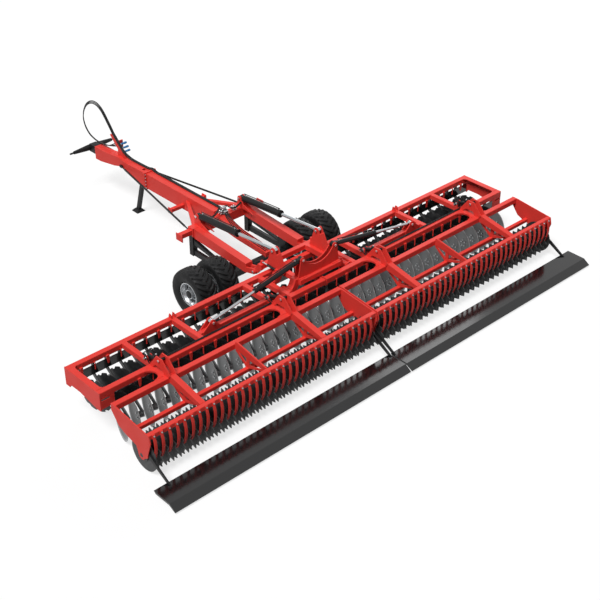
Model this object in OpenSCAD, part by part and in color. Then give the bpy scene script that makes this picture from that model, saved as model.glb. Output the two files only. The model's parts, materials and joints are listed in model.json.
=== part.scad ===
// Trailed folding disc harrow in its working position.
// X points right, Y points forward (travel), Z points up, and Z = 0 is the ground.
// Wing distances along Y are counted back from the front face of the front beam.

/* [Working width] */
// Half of the working width, centre line to the outer face of a wing
half_width = 4600; // [3900:50:5400]
// Gap between the two wings at the centre line
centre_gap = 30; // [20:2:60]

/* [Wing frame] */
// Height of the wing frame's top above the ground
frame_top = 860; // [820:5:900]
// Side of the square wing beams
beam = 100; // [80:5:110]
// Depth of the front frame, front face to rear face
frame_depth = 914; // [880:2:960]
// Distance back to the front face of the packer beam
packer_beam_y = 1198; // [1180:2:1240]
// Distance back to the rear face of the scraper beam
scraper_y = 2095; // [2080:5:2130]
// Height of the scraper beam's top
scraper_top = 776; // [750:2:800]
// Side of the square scraper beam
scraper_beam = 80; // [60:5:90]
// Distance back to the centre of the low cross tube
mid_tube_y = 1565; // [1540:5:1600]
// Height of the low cross tube's top
mid_tube_top = 550; // [530:5:570]
// Side of the low cross tube
mid_tube = 70; // [60:5:80]
// Thickness of the end plates
end_plate = 16; // [10:1:24]
// Width of the crossbars
crossbar_w = 90; // [70:5:110]
// Distance of the inner towers from the centre line
tower_in_x = 1104; // [1060:2:1200]
// Distance of the outer towers from the centre line
tower_out_x = 3559; // [3400:5:3650]
// Distance of the fold lug crossbar from the centre line
lug_bar_x = 2590; // [2540:5:2700]
// Distance of the thin gusset from the centre line
gusset_x = 2316; // [2200:4:2400]
// Height of the tower heads
tower_top = 1112; // [1060:4:1160]

/* [Discs] */
// Outer radius of a disc
disc_r = 290; // [255:5:300]
// Depth of a disc's dish
disc_dish = 48; // [30:2:60]
// Thickness of a disc's steel
disc_t = 7; // [5:1:10]
// Spacing of the discs in a row
disc_pitch = 248; // [230:2:300]
// Angle of the discs to the line of travel
disc_lean = 17; // [10:1:20]
// Distance back to the hubs of the front row
front_disc_y = 305; // [300:1:340]
// Distance back to the hubs of the rear row
rear_disc_y = 1095; // [1090:1:1130]
// Height of the discs' lowest points above the ground
disc_clear = 10; // [6:1:30]
// Height of the black soil boards
board_h = 165; // [120:5:175]

/* [Packer] */
// Radius of the packer rings at their teeth
packer_r = 304; // [280:2:310]
// Distance back to the packer shaft
packer_y = 1879; // [1865:2:1885]
// Spacing of the packer rings
ring_pitch = 136; // [120:2:160]
// Thickness of a packer ring
ring_t = 14; // [10:1:20]
// Teeth on a packer ring
ring_teeth = 14; // [12:1:20]
// Radius of the packer's tube
packer_tube_r = 110; // [90:5:130]
// Radius of the packer's stub shafts
stub_r = 36; // [30:1:40]
// Width of a scraper bar
scraper_w = 44; // [30:2:56]

/* [Drag board] */
// How far the drag board reaches past a wing's outer face
drag_over = 210; // [150:10:250]
// Distance back to the drag board's front edge
drag_front_y = 2424; // [2410:2:2460]
// Distance back to the drag board's rear edge
drag_rear_y = 2915; // [2890:5:2960]

/* [Folding] */
// Distance of a wing's hinge pin from the centre line
hinge_x = 660; // [650:2:680]
// Height of the wing hinge pins
hinge_z = 800; // [795:1:805]
// Radius of the wing hinge pins
hinge_pin_r = 30; // [24:1:34]
// Distance forward to the tilt axis
tilt_y = 180; // [175:1:190]
// Height of the tilt axis
tilt_z = 800; // [795:1:805]
// Radius of the tilt pins
tilt_pin_r = 32; // [26:1:36]
// Distance of the lift cylinders from the centre line
lift_x = 500; // [490:1:505]
// Radius of a lift cylinder's barrel
lift_barrel_r = 64; // [50:1:66]
// Radius of a lift cylinder's rod
lift_rod_r = 30; // [24:1:31]
// Radius of a fold cylinder's barrel
fold_barrel_r = 40; // [36:1:46]
// Radius of a fold cylinder's rod
fold_rod_r = 23; // [18:1:26]

/* [Chassis] */
// Width of the main beams
main_beam_w = 150; // [120:5:160]
// Distance of the main beams from the centre line
main_beam_x = 600; // [598:1:602]
// Width of the drawbar
drawbar_w = 200; // [160:5:240]
// Distance forward to the hitch bar
hitch_y = 5898; // [5800:2:6000]
// Height of the hitch bar
hitch_z = 902; // [880:2:930]
// Radius of the lower link pins
link_pin_r = 18.3; // [14:0.1:22.5]
// Lean of the parking leg
leg_lean = 17; // [10:1:18]
// Side of the parking leg
leg_w = 70; // [50:2:80]

/* [Wheels] */
// Radius of the tyres
tyre_r = 450; // [420:2:455]
// Width of a tyre
tyre_w = 386; // [340:2:400]
// Distance of the inner tyres from the centre line
wheel_in_x = 982; // [975:1:1000]
// Spacing of the twin tyres
twin_gap = 483; // [470:1:500]
// Distance forward to the axle
axle_y = 798; // [790:1:850]
// Radius of the rims
rim_r = 218; // [200:2:230]
// Radius of the wheel spindles
spindle_r = 55; // [40:1:60]

/* [Hidden] */
$fn = 64;
fit = 0.05;
play = 5;
seat = 0.3;

tube_corner = 10;
frame_bottom = frame_top - beam;
wing_in = centre_gap / 2;
beam_in = wing_in + end_plate;
beam_out = half_width - end_plate;
second_front = frame_depth - beam;
packer_beam_rear = packer_beam_y + beam;
scraper_front = scraper_y - scraper_beam;
scraper_bottom = scraper_top - scraper_beam;
mid_bottom = mid_tube_top - mid_tube;

disc_z = disc_r + disc_clear;
packer_gap = 3;
packer_z = packer_r + packer_gap;

lift_base = [1848, 1143];
lift_top = [-190, 1319];
fold_y = frame_depth - 234;
fold_base = [368, 1304];
fold_tip = [2301, 959];
base_pin_r = 25;
eye_r = 46;
eye_w = 60;
fork_gap = 70;
fork_t = 18;

cross_rear = 1780;
cross_front = 1920;
cross_half = 700;
cross_z = [800, 970];
main_end = 370;
flange_y = 3960;
link_pin_len = 90;
link_half = 545;
link_r = 60;

y_mid = (hitch_y + link_r - drag_rear_y) / 2;

red = "#d8382f";
black = "#262626";
steel = "#8c8f92";
chrome = "#d5d8da";
rubber = "#1c1c1c";

// The whole machine is moved so that its middle lies over the origin.
module placed() translate([0, -y_mid, 0]) children();

// A piece drawn for the right side, kept (side 1) or mirrored (side -1).
module on_side(side) {
    if (side < 0) mirror([1, 0, 0]) children();
    else children();
}

// Box from its lowest to its highest corner.
module span(lo, hi) translate(lo) cube(hi - lo);

// Rectangle with round corners, as the section of a square tube.
module rounded_rect(w, h, r) {
    translate([r, 0]) square([w - 2 * r, h]);
    translate([0, r]) square([w, h - 2 * r]);
    for (x = [r, w - r], y = [r, h - r]) translate([x, y]) circle(r);
}

// Square tube along X, from its rear lower edge.
module bar_x(x0, x1, y, z, w, h)
    translate([x0, y, z]) rotate([90, 0, 90]) linear_extrude(x1 - x0) rounded_rect(w, h, tube_corner);

// Square tube along Y, from its left lower edge.
module bar_y(y0, y1, x, z, w, h)
    translate([x, y1, z]) rotate([90, 0, 0]) linear_extrude(y1 - y0) rounded_rect(w, h, tube_corner);

// Outline in Y and Z, thickened along X from x0 to x1.
module plate_yz(x0, x1) translate([x0, 0, 0]) rotate([90, 0, 90]) linear_extrude(x1 - x0) children();

// Outline in X and Z, thickened along Y from y0 to y1.
module plate_xz(y0, y1) translate([0, y1, 0]) rotate([90, 0, 0]) linear_extrude(y1 - y0) children();

// Round bar along X, and round bar along Y.
module rod_x(r, x0, x1, y, z) translate([x0, y, z]) rotate([0, 90, 0]) cylinder(r = r, h = x1 - x0);
module rod_y(r, y0, y1, x, z) translate([x, y1, z]) rotate([90, 0, 0]) cylinder(r = r, h = y1 - y0);

// Round bar between two points.
module rod_between(p, q, r) {
    v = q - p;
    translate(p) rotate([0, acos(v[2] / norm(v)), atan2(v[1], v[0])]) cylinder(r = r, h = norm(v));
}

// Wing frame

module wing_beams(side) color(red) on_side(side) {
    bar_x(beam_in, beam_out, -beam, frame_bottom, beam, beam);
    bar_x(beam_in, beam_out, -frame_depth, frame_bottom, beam, beam);
    bar_x(beam_in, beam_out, -packer_beam_rear, frame_bottom, beam, beam);
    bar_x(beam_in, beam_out, -mid_tube_y - mid_tube / 2, mid_bottom, mid_tube, mid_tube);
}

// Front frame end plate with its stepped foot, and the flange along its top.
end_flange = [90, 12];
flange_fillet = 60;
module front_end_plate(x0, foot) {
    plate_yz(x0, x0 + end_plate) polygon([[0, frame_top], [0, frame_bottom - foot], [-105, frame_bottom - foot],
        [-140, frame_bottom - 0.75 * foot], [-380, frame_bottom - 0.73 * foot],
        [-second_front, frame_bottom - 1.05 * foot], [-frame_depth, frame_bottom - foot],
            [-frame_depth, frame_top]]);
}

// Cheek below the outer end of the second beam, with a long slot.
cheek_w = 240;
cheek_t = 12;
cheek_h = 200;
cheek_slot = [150, 34];
module end_cheek() plate_xz(-frame_depth, -frame_depth + cheek_t) difference() {
    translate([beam_out - cheek_w, frame_bottom - cheek_h]) square([cheek_w, cheek_h]);
    translate([beam_out - 12 - cheek_slot[0], frame_bottom - 25 - cheek_slot[1]]) square(cheek_slot);
}

// Flange between the two beams, with a round fillet where it meets each of them.
module end_flange_plate()
    translate([beam_out, -beam, frame_top - end_flange[1]]) mirror([1, 1, 0]) linear_extrude(end_flange[1]) {
        square([second_front - beam, end_flange[0]]);
        for (y = [0, second_front - beam - flange_fillet]) difference() {
            translate([y, end_flange[0] - 1]) square([flange_fillet, flange_fillet + 1]);
            translate([y == 0 ? flange_fillet : y, end_flange[0] + flange_fillet]) circle(flange_fillet);
        }
    }

hinge_bar_x = hinge_x + 100;
knuckle_len = 150;
lug_t = 25;
knuckle_gap = 3;
knuckle_y = [beam + 80, second_front - 74 - knuckle_len];

// Two lugs and the pin that carry one hinge knuckle.
module hinge_lugs(y) {
    for (lug_y = [y - knuckle_gap - lug_t, y + knuckle_len + knuckle_gap])
        plate_xz(-lug_y - lug_t, -lug_y) {
            translate([hinge_x, hinge_z]) circle(50);
            translate([hinge_x, hinge_z - 40]) square([hinge_bar_x - crossbar_w / 2 - hinge_x + 2, 90]);
        }
    rod_y(hinge_pin_r, -y - knuckle_len - knuckle_gap - lug_t - 8, -y + knuckle_gap + lug_t + 8, hinge_x,
        hinge_z);
}

// Beam under a fold cylinder, with the fork for the cylinder's eye.
fold_beam_w = 90;
module fold_beams(side) color(red) on_side(side) {
    bar_x(tower_in_x + crossbar_w / 2, lug_bar_x - crossbar_w / 2, -fold_y - fold_beam_w / 2, frame_bottom,
        fold_beam_w, beam);
    for (y = [-fold_y - fork_gap / 2 - fork_t, -fold_y + fork_gap / 2])
        plate_xz(y, y + fork_t) {
            translate(fold_tip) circle(52);
            polygon([[fold_tip[0] + 190, frame_top - 60], [fold_tip[0] + 190, frame_top],
                [fold_tip[0] + 34, fold_tip[1] + 40], [fold_tip[0] - 52, fold_tip[1] - 5],
                [fold_tip[0] - 150, frame_top], [fold_tip[0] - 150, frame_top - 60]]);
        }
    for (y = [-fold_y - fork_gap / 2 - fork_t - 14, -fold_y + fork_gap / 2 + fork_t])
        rod_y(base_pin_r, y, y + 14, fold_tip[0], fold_tip[1]);
}

crossbar_xs = [hinge_bar_x, tower_in_x, lug_bar_x, tower_out_x];
depth_lug_y = [700, 770];
depth_lug_top = 965;
module wing_crossbars(side) color(red) on_side(side) {
    for (x = crossbar_xs)
        bar_y(-second_front, -beam, x - crossbar_w / 2, frame_bottom, crossbar_w, beam);
    for (y = knuckle_y) hinge_lugs(y);
    front_end_plate(beam_out, 225);
    front_end_plate(wing_in, 20);
    end_flange_plate();
    end_cheek();
    for (x = [lug_bar_x - 40, lug_bar_x + 28])
        plate_yz(x, x + 12) polygon([[-8, frame_top], [-92, frame_top], [-70, frame_top + 75],
            [-25, frame_top + 75]]);
    for (x = [tower_in_x, tower_out_x], s = [-1, 1])
        plate_yz(x + s * 40 - 6, x + s * 40 + 6)
            polygon([[-depth_lug_y[0], frame_top], [-depth_lug_y[1], frame_top],
                [-depth_lug_y[1], depth_lug_top - 20], [-depth_lug_y[1] + 20, depth_lug_top],
                [-depth_lug_y[0] - 20, depth_lug_top]]);
}

// Towers, gussets and side plates of the packer frame

arm_drop = 70;
// Plate head of a tower: stands on both frames and bridges the gap between them.
module tower_head(x0, t)
    plate_yz(x0, x0 + t) polygon([[-second_front - 10, frame_top], [-frame_depth - 96, tower_top],
        [-packer_beam_y + 48, tower_top], [-packer_beam_rear - 32, frame_top + 45],
        [-packer_beam_rear, frame_top], [-packer_beam_y, frame_top],
            [-packer_beam_y + 48, frame_top + arm_drop],
        [-frame_depth - 56, frame_top + arm_drop], [-frame_depth, frame_top]]);

// Box arm from the packer beam down to the scraper beam.
module tower_arm(x, w)
    plate_yz(x - w / 2, x + w / 2) polygon([[-packer_beam_rear, frame_top + 30],
        [-packer_beam_rear - 32, frame_top + 45],
        [-scraper_front, scraper_top], [-scraper_front, scraper_bottom],
            [-packer_beam_rear, frame_bottom + 10]]);

// Web below an arm, down to the low cross tube, with a three-sided window.
module tower_web(x, t) {
    top_y = packer_beam_rear + 40;
    plate_yz(x - t / 2, x + t / 2) difference() {
        polygon([[-packer_beam_rear, frame_bottom + 40], [-packer_beam_rear, frame_bottom - 30],
            [-mid_tube_y + mid_tube / 2, mid_tube_top], [-mid_tube_y - mid_tube / 2, mid_tube_top],
            [-scraper_front, scraper_bottom], [-scraper_front, scraper_bottom + 40]]);
        polygon([[-top_y, frame_bottom - 10], [-mid_tube_y + 20, mid_tube_top + 60],
            [-mid_tube_y + 20, frame_bottom - 40]]);
        polygon([[-mid_tube_y - 50, frame_bottom - 50], [-mid_tube_y - 50, mid_tube_top + 60],
            [-scraper_front + 90, scraper_bottom + 5]]);
    }
}

bearing_r = 75;
// Side plate of the packer frame, with the arm that holds the packer's bearing.
module side_plate(x0) {
    difference() {
        union() {
            plate_yz(x0, x0 + end_plate) {
                polygon([[-packer_beam_y, frame_top], [-packer_beam_rear, frame_top], [-scraper_y, scraper_top],
                    [-scraper_y - 30, scraper_bottom - 50], [-packer_y - 170, packer_z + 120],
                    [-packer_y - 150, packer_z + 30], [-packer_y, packer_z - bearing_r],
                    [-packer_y + bearing_r, packer_z],
                    [-packer_y + 110, packer_z + 115], [-mid_tube_y + 60, mid_bottom],
                    [-packer_beam_rear - 60, mid_tube_top - 10], [-packer_beam_y, frame_bottom - 20]]);
                translate([-packer_y, packer_z]) circle(bearing_r);
            }
        }
        rod_x(stub_r + fit, x0 - 1, x0 + end_plate + 1, -packer_y, packer_z);
    }
}

bridge_half = [112, 246];
bridge_t = 30;
// Plate that bridges the two frames at a tower, cut in by a round window end on each side.
module bridge_plate(x) {
    depth = packer_beam_y - frame_depth;
    window_r = bridge_half[1] - bridge_half[0];
    translate([x, -packer_beam_y, frame_top - bridge_t]) linear_extrude(bridge_t) difference() {
        translate([-bridge_half[1], 0]) square([2 * bridge_half[1], depth]);
        for (s = [-1, 1]) translate([s * bridge_half[1], depth / 2]) circle(min(window_r, depth / 2 - 6));
    }
}

module wing_towers(side) color(red) on_side(side) {
    for (x = [tower_in_x, tower_out_x]) {
        for (s = [-65, 45]) tower_head(x + s, 20);
        tower_arm(x, 100);
        tower_web(x, 14);
        for (s = [-65 - 12, 65]) rod_x(24, x + s, x + s + 12, -depth_tip[0], depth_tip[1]);
        bridge_plate(x);
    }
    tower_web(gusset_x, 14);
    tower_arm(gusset_x, 26);
    side_plate(wing_in);
    side_plate(beam_out);
}

// Short cylinders that set the working depth

depth_base = [735, 930];
depth_tip = [1080, 1062];
module depth_cylinders(side) color(black) on_side(side)
    for (x = [tower_in_x, tower_out_x]) {
        p = [x, -depth_base[0], depth_base[1]];
        q = [x, -depth_tip[0], depth_tip[1]];
        rod_x(24, x - 34, x + 34, p[1], p[2]);
        rod_between(p, p + 0.72 * (q - p), 31);
        rod_between(p, q, 17);
        rod_x(24, x - 45, x + 45, q[1], q[2]);
    }

// Soil boards under the front frame, and the brackets that hold them

board_t = 12;
// One row per board: distance back, gap below the beam, and how far it ends short of the beam's end.
board_rows = [[beam, 28, 30], [frame_depth, 8, cheek_w + 2]];
board_low = frame_bottom - board_rows[0][1] - board_h;
bracket_t = 12;
bracket_h = 112;
bracket_rise = 28;
bracket_first = beam_in + 441;
bracket_step = 488;
module soil_boards(side) color(black) on_side(side)
    for (row = board_rows)
        span([beam_in, -row[0] - board_t, frame_bottom - row[1] - board_h],
            [beam_out - row[2], -row[0], frame_bottom - row[1]]);

// Bracket of two widths that stands on the beam's rear face and reaches down behind the board.
module board_bracket(x, y, top_w, low_w) {
    plate_xz(-y - board_t - bracket_t, -y - board_t)
        polygon([[x - top_w / 2, frame_bottom + bracket_rise], [x + top_w / 2, frame_bottom + bracket_rise],
            [x + top_w / 2, frame_bottom], [x + low_w / 2, frame_bottom - bracket_h],
            [x - low_w / 2, frame_bottom - bracket_h], [x - top_w / 2, frame_bottom]]);
    span([x - top_w / 2, -y - board_t - 1, frame_bottom + tube_corner],
        [x + top_w / 2, -y, frame_bottom + bracket_rise]);
}

// A bracket of the front board is left out where a crossbar meets the beam.
function has_room(x, y) = y > beam || min([for (bar = crossbar_xs) abs(x - bar)]) > crossbar_w / 2 + 30;
module board_brackets(side) color(red) on_side(side)
    for (row = board_rows, k = [0 : floor((beam_out - row[2] - 40 - bracket_first) / bracket_step)]) {
        x = bracket_first + k * bracket_step;
        thin_x = x - bracket_step / 2;
        if (has_room(x, row[0])) board_bracket(x, row[0], 52, 28);
        if (has_room(thin_x, row[0])) board_bracket(thin_x, row[0], 14, 14);
    }

// Disc rows

hub_r = 52;
hub_len = 95;
arm_w = 60;
arm_t = 22;
arm_knee = board_low - 12;
dish_steps = 5;
// Ball radius that gives the dish its depth at the rim.
dish_ball = (disc_r * disc_r + disc_dish * disc_dish) / (2 * disc_dish);
function dish_at(r) = dish_ball - sqrt(dish_ball * dish_ball - r * r);

// Section of a dished disc from its centre to its rim, as radius and height.
function dish_section() = concat(
    [for (k = [0 : dish_steps]) let (r = disc_r * k / dish_steps) [r, dish_at(r)]],
    [for (k = [dish_steps : -1 : 0]) let (r = disc_r * k / dish_steps) [r, dish_at(r) + disc_t]]);

notch_n = 10;
notch_r = 42;
// Disc with its axis along X, its back at the origin and its hollow side towards +X.
module disc(notched) {
    rotate([0, 90, 0]) difference() {
        rotate_extrude() polygon(dish_section());
        if (notched) for (k = [0 : notch_n - 1])
            rotate(k * 360 / notch_n) translate([disc_r + notch_r * 0.35, 0, 0])
                cylinder(r = notch_r, h = disc_dish + 2 * disc_t);
    }
    rotate([0, -90, 0]) translate([0, 0, -disc_t]) cylinder(r = hub_r, h = hub_len);
}

// Curved leg from the beam's underside to a hub at distance back y and height disc_z.
module disc_leg(beam_y, hub_y) {
    polygon([[-beam_y, frame_bottom], [-beam_y - arm_w, frame_bottom], [-beam_y - arm_w, arm_knee],
        [-hub_y - 46, disc_z + 60], [-hub_y - 40, disc_z - 40], [-hub_y + 30, disc_z - 40],
        [-hub_y + 40, disc_z + 40], [-beam_y, arm_knee - 45]]);
}

// A row of discs: hub distance, beam distance, first place along X, and facing.
// Facing 1 hollows towards the right and -1 towards the left, on both wings.
module disc_row(side, hub_y, beam_y, first, facing, notched) {
    count = floor((half_width - row_margin - first) / disc_pitch) + 1;
    arm_off = facing * (hub_len - arm_t) * cos(disc_lean);
    for (k = [0 : count - 1]) {
        x = side * (first + k * disc_pitch);
        translate([x, -hub_y, disc_z]) rotate([0, 0, facing > 0 ? disc_lean : 180 - disc_lean]) disc(notched);
        translate([x - arm_off, 0, 0]) plate_yz(-arm_t / 2, arm_t / 2) disc_leg(beam_y, hub_y);
    }
}

// Places of the innermost discs, left wing and right wing.
front_first = [348, 148];
rear_first = [115, 146];
row_margin = 225;
function first_of(pair, side) = side < 0 ? pair[0] : pair[1];
module front_discs(side) color(steel)
    disc_row(side, front_disc_y, beam - arm_w - 14, first_of(front_first, side), 1, true);
module rear_discs(side) color(steel)
    disc_row(side, rear_disc_y, frame_depth - arm_w - 14, first_of(rear_first, side), -1, false);

// Packer roller and its scrapers

// Scraper bars come first: a ring stands halfway between each two bars, and one outside the last bar.
bar_first = beam_in + 130;
bar_count = floor((beam_out - 60 - bar_first) / ring_pitch) + 1;
bar_last = bar_first + (bar_count - 1) * ring_pitch;
function ring_at(k) = k < bar_count ? bar_first + (k - 0.5) * ring_pitch
    : bar_last + (scraper_w + ring_t) / 2 + play;
tooth_h = 62;
// One star ring: pointed teeth on a plain hoop.
function star() = [for (k = [0 : 2 * ring_teeth - 1])
    let (r = k % 2 == 0 ? packer_r : packer_r - tooth_h, a = k * 180 / ring_teeth) [r * cos(a), r * sin(a)]];

module packer(side) color(black) on_side(side) {
    rod_x(packer_tube_r, beam_in + play, beam_out - play, -packer_y, packer_z);
    rod_x(stub_r, wing_in, half_width, -packer_y, packer_z);
    for (k = [0 : bar_count])
        translate([ring_at(k) - ring_t / 2, -packer_y, packer_z])
            rotate([90, 0, 90]) linear_extrude(ring_t) difference() {
                if (k < bar_count) polygon(star());
                else circle(packer_r - 14);
                circle(packer_tube_r - 10);
            }
}

scraper_low = 277;
scraper_t = 16;
scraper_bow = 48;
bow_steps = 10;
// Points on a shallow bow from p to q, which stands back by sag at its middle.
function bow(p, q, sag) = [for (k = [0 : bow_steps])
    let (t = k / bow_steps, d = q - p) p + d * t + [d[1], -d[0]] / norm(d) * 4 * sag * t * (1 - t)];
function turned(list) = [for (k = [len(list) - 1 : -1 : 0]) list[k]];

// Bowed bar that hangs from the scraper beam and reaches in between two rings.
module scraper_bar(x) {
    top = [-scraper_y - scraper_t, scraper_top - 48];
    tip = [-scraper_y + 25, scraper_low];
    plate_yz(x - scraper_w / 2, x + scraper_w / 2) polygon(concat(
        [[-scraper_y, scraper_top - 8], [-scraper_y - scraper_t, scraper_top - 8]], bow(top, tip, scraper_bow),
        turned(bow(top + [scraper_t, 0], tip + [scraper_t, 8], scraper_bow))));
}

module scraper_beams(side) color(red) on_side(side)
    bar_x(beam_in, beam_out, -scraper_y, scraper_bottom, scraper_beam, scraper_beam);

module scraper_bars(side) color(red) on_side(side)
    for (k = [0 : bar_count - 1]) scraper_bar(bar_first + k * ring_pitch);

// Drag board behind the packer

drag_top = 123;
drag_ridge = [2784, 117];
drag_low = 20;
module drag_board(side) color(black) on_side(side)
    plate_yz(wing_in, half_width + drag_over) polygon([[-drag_front_y, drag_top],
        [-drag_ridge[0], drag_ridge[1]],
        [-drag_rear_y, drag_low + 12], [-drag_rear_y + 12, drag_low], [-drag_ridge[0] + 14, drag_ridge[1] - 32],
        [-drag_front_y - 40, drag_top - 40]]);

drag_arm_t = 25;
// Height of the drag board's top at distance back d.
function drag_at(d) = drag_top
    + (drag_ridge[1] - drag_top) * (d - drag_front_y) / (drag_ridge[0] - drag_front_y);
// Flat arms from the packer's side plates to the drag board.
module board_arms(side) color(black) on_side(side)
    for (x = [beam_in, beam_out - drag_arm_t])
        plate_yz(x, x + drag_arm_t) polygon([[-packer_y - 111, packer_z + 48],
            [-packer_y - 136, packer_z + 118],
            [-drag_front_y - 90, drag_at(drag_front_y + 90)], [-drag_front_y - 4, drag_at(drag_front_y + 4)]]);

// Tilting carrier that joins the wings to the chassis

rail_x = [380, 470];
rail_z = [885, 985];
rail_rear = 790;
tilt_tube_y = [15, 105];
tilt_half = 635;
tower_plates = [lift_x - fork_gap / 2 - fork_t, lift_x + fork_gap / 2];

// Arm from a rail out and down to one wing hinge knuckle.
module knuckle_arm(y) {
    difference() {
        union() {
            rod_y(48, -y - knuckle_len, -y, hinge_x, hinge_z);
            plate_xz(-y - knuckle_len + 10, -y - 10) polygon([[hinge_x, hinge_z + 40], [hinge_x, hinge_z - 44],
                [hinge_x - 140, hinge_z - 44], [rail_x[1] - 30, rail_z[0]], [rail_x[1] - 30, rail_z[1]],
                [rail_x[1] + 60, rail_z[1]], [hinge_x - 85, hinge_z + 74], [hinge_x - 55, hinge_z + 40]]);
        }
        rod_y(hinge_pin_r + fit, -y - knuckle_len - 1, -y + 1, hinge_x, hinge_z);
    }
}

// Arm with the boss that turns on a tilt pin.
module tilt_arm() {
    difference() {
        union() {
            rod_x(58, 565, tilt_half, tilt_y, tilt_z);
            plate_yz(565, tilt_half) polygon([[tilt_y - 55, tilt_z - 20], [tilt_y + 50, tilt_z - 25],
                [tilt_tube_y[1], rail_z[1] - 10], [tilt_tube_y[0], rail_z[1] - 10],
                    [tilt_tube_y[0], rail_z[0]]]);
        }
        rod_x(tilt_pin_r + fit, 564, tilt_half + 1, tilt_y, tilt_z);
    }
}

// Box tower whose open fork takes the eye of a lift cylinder.
module lift_tower() {
    for (x = tower_plates)
        plate_yz(x, x + fork_t) {
            translate(lift_top) circle(52);
            polygon([[-30, rail_z[1] - 25], [-430, rail_z[1] - 25], [-430, rail_z[1]],
                [lift_top[0] - 50, lift_top[1] + 16], [lift_top[0] + 50, lift_top[1] + 16], [-30, rail_z[1]]]);
        }
    for (x = [tower_plates[0] - 14, tower_plates[1] + fork_t])
        rod_x(base_pin_r, x, x + 14, lift_top[0], lift_top[1]);
    span([rail_x[0], -430, rail_z[1] - 25], [tower_plates[1] + fork_t, -30, rail_z[1]]);
    plate_yz(tower_plates[0], tower_plates[1] + fork_t)
        polygon([[-430, rail_z[1] - 5], [-400, rail_z[1] - 5], [-258, rail_z[1] + 290],
            [-283, rail_z[1] + 290]]);
}

// Pair of saddle plates across the carrier, with a fork at each end for the base of a fold cylinder.
saddle_low = 965;
saddle_mid = 1120;
saddle_half = fold_base[0] - 50;
saddle_rise = fold_base[1] - 14 - saddle_mid;
saddle_r = (saddle_half * saddle_half + saddle_rise * saddle_rise) / (2 * saddle_rise);
module saddle() {
    for (y = [-fold_y - fork_gap / 2 - fork_t, -fold_y + fork_gap / 2])
        plate_xz(y, y + fork_t) {
            difference() {
                polygon([[-rail_x[1], saddle_low], [rail_x[1], saddle_low],
                    [fold_base[0] + 50, fold_base[1] - 14], [-fold_base[0] - 50, fold_base[1] - 14]]);
                translate([0, saddle_mid + saddle_r]) circle(saddle_r);
            }
            for (s = [-1, 1]) translate([s * fold_base[0], fold_base[1]]) circle(50);
        }
    for (side = [-1, 1]) on_side(side)
        rod_y(base_pin_r, -fold_y - fork_gap / 2 - fork_t - 12, -fold_y + fork_gap / 2 + fork_t + 12,
            fold_base[0], fold_base[1]);
    for (side = [-1, 1]) on_side(side)
        span([rail_x[0] - 80, -fold_y - 80, saddle_low - 5], [rail_x[1], -fold_y + 80, saddle_low + 20]);
}

module carrier() color(red) {
    bar_x(-tilt_half, tilt_half, tilt_tube_y[0], rail_z[0], tilt_tube_y[1] - tilt_tube_y[0],
        rail_z[1] - rail_z[0] - 10);
    bar_x(-rail_x[1], rail_x[1], -rail_rear, rail_z[0], 90, rail_z[1] - rail_z[0] - 10);
    for (side = [-1, 1]) on_side(side) {
        span([rail_x[0], -rail_rear, rail_z[0]], [rail_x[1], tilt_tube_y[0] + 30, rail_z[1] - 10]);
        for (y = knuckle_y) knuckle_arm(y);
        tilt_arm();
        lift_tower();
    }
    saddle();
}

// Cylinders: base eye, barrel and rod along local +X, with the pins along local Y

// Base eye and barrel, from the base pin to the gland at distance len.
module barrel(r, len) {
    difference() {
        union() {
            rod_y(eye_r, -eye_w / 2, eye_w / 2, 0, 0);
            span([0, -eye_w / 2, -eye_r + 8], [90, eye_w / 2, eye_r - 8]);
            rod_x(r, 86, len, 0, 0);
            rod_x(r + 5, len - 60, len, 0, 0);
        }
        rod_y(base_pin_r + fit, -eye_w / 2 - 1, eye_w / 2 + 1, 0, 0);
        rod_x(r - 9, 110, len - 60, 0, 0);
    }
}

// Hole through a gland for the rod.
module gland_hole(rod_r, len) rod_x(rod_r + fit, len - 70, len + 1, 0, 0);

// Rod with its eye at distance reach, and its inner end just inside the gland.
module piston_rod(rod_r, inner, reach) {
    rod_x(rod_r, inner, reach - 20, 0, 0);
    rod_y(eye_r - 4, -eye_w / 2, eye_w / 2, reach, 0);
}

lift_span = norm(lift_top - lift_base);
lift_len = 1085;
lift_inner = 1012;
fold_span = norm(fold_tip - fold_base);
fold_len = 1040;
fold_inner = 945;

module lift_place(side)
    on_side(side) translate([lift_x, lift_base[0], lift_base[1]])
        rotate([-atan2(lift_top[1] - lift_base[1], lift_base[0] - lift_top[0]), 0, 0]) rotate(-90) children();

module fold_place(side)
    on_side(side) translate([fold_base[0], -fold_y, fold_base[1]])
        rotate([0, -atan2(fold_tip[1] - fold_base[1], fold_tip[0] - fold_base[0]), 0]) children();

module lift_barrel(side) color(black) lift_place(side) difference() {
    barrel(lift_barrel_r, lift_len);
    gland_hole(lift_rod_r, lift_len);
}
module lift_rod(side) color(chrome) lift_place(side) piston_rod(lift_rod_r, lift_inner, lift_span);

module fold_barrel(side) color(black) fold_place(side) difference() {
    barrel(fold_barrel_r, fold_len);
    gland_hole(fold_rod_r, fold_len);
}
module fold_rod(side) color(chrome) fold_place(side) piston_rod(fold_rod_r, fold_inner, fold_span);

// Chassis

main_top = [870, 965];
main_low = [690, 770];
spine_w = 170;
// Heights of the main beams' top and underside at distance forward y.
function main_over(y) = main_top[0] + (main_top[1] - main_top[0]) * (y - main_end) / (cross_rear - main_end);
function main_under(y) = main_low[0] + (main_low[1] - main_low[0]) * (y - main_end) / (cross_rear - main_end);

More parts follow.
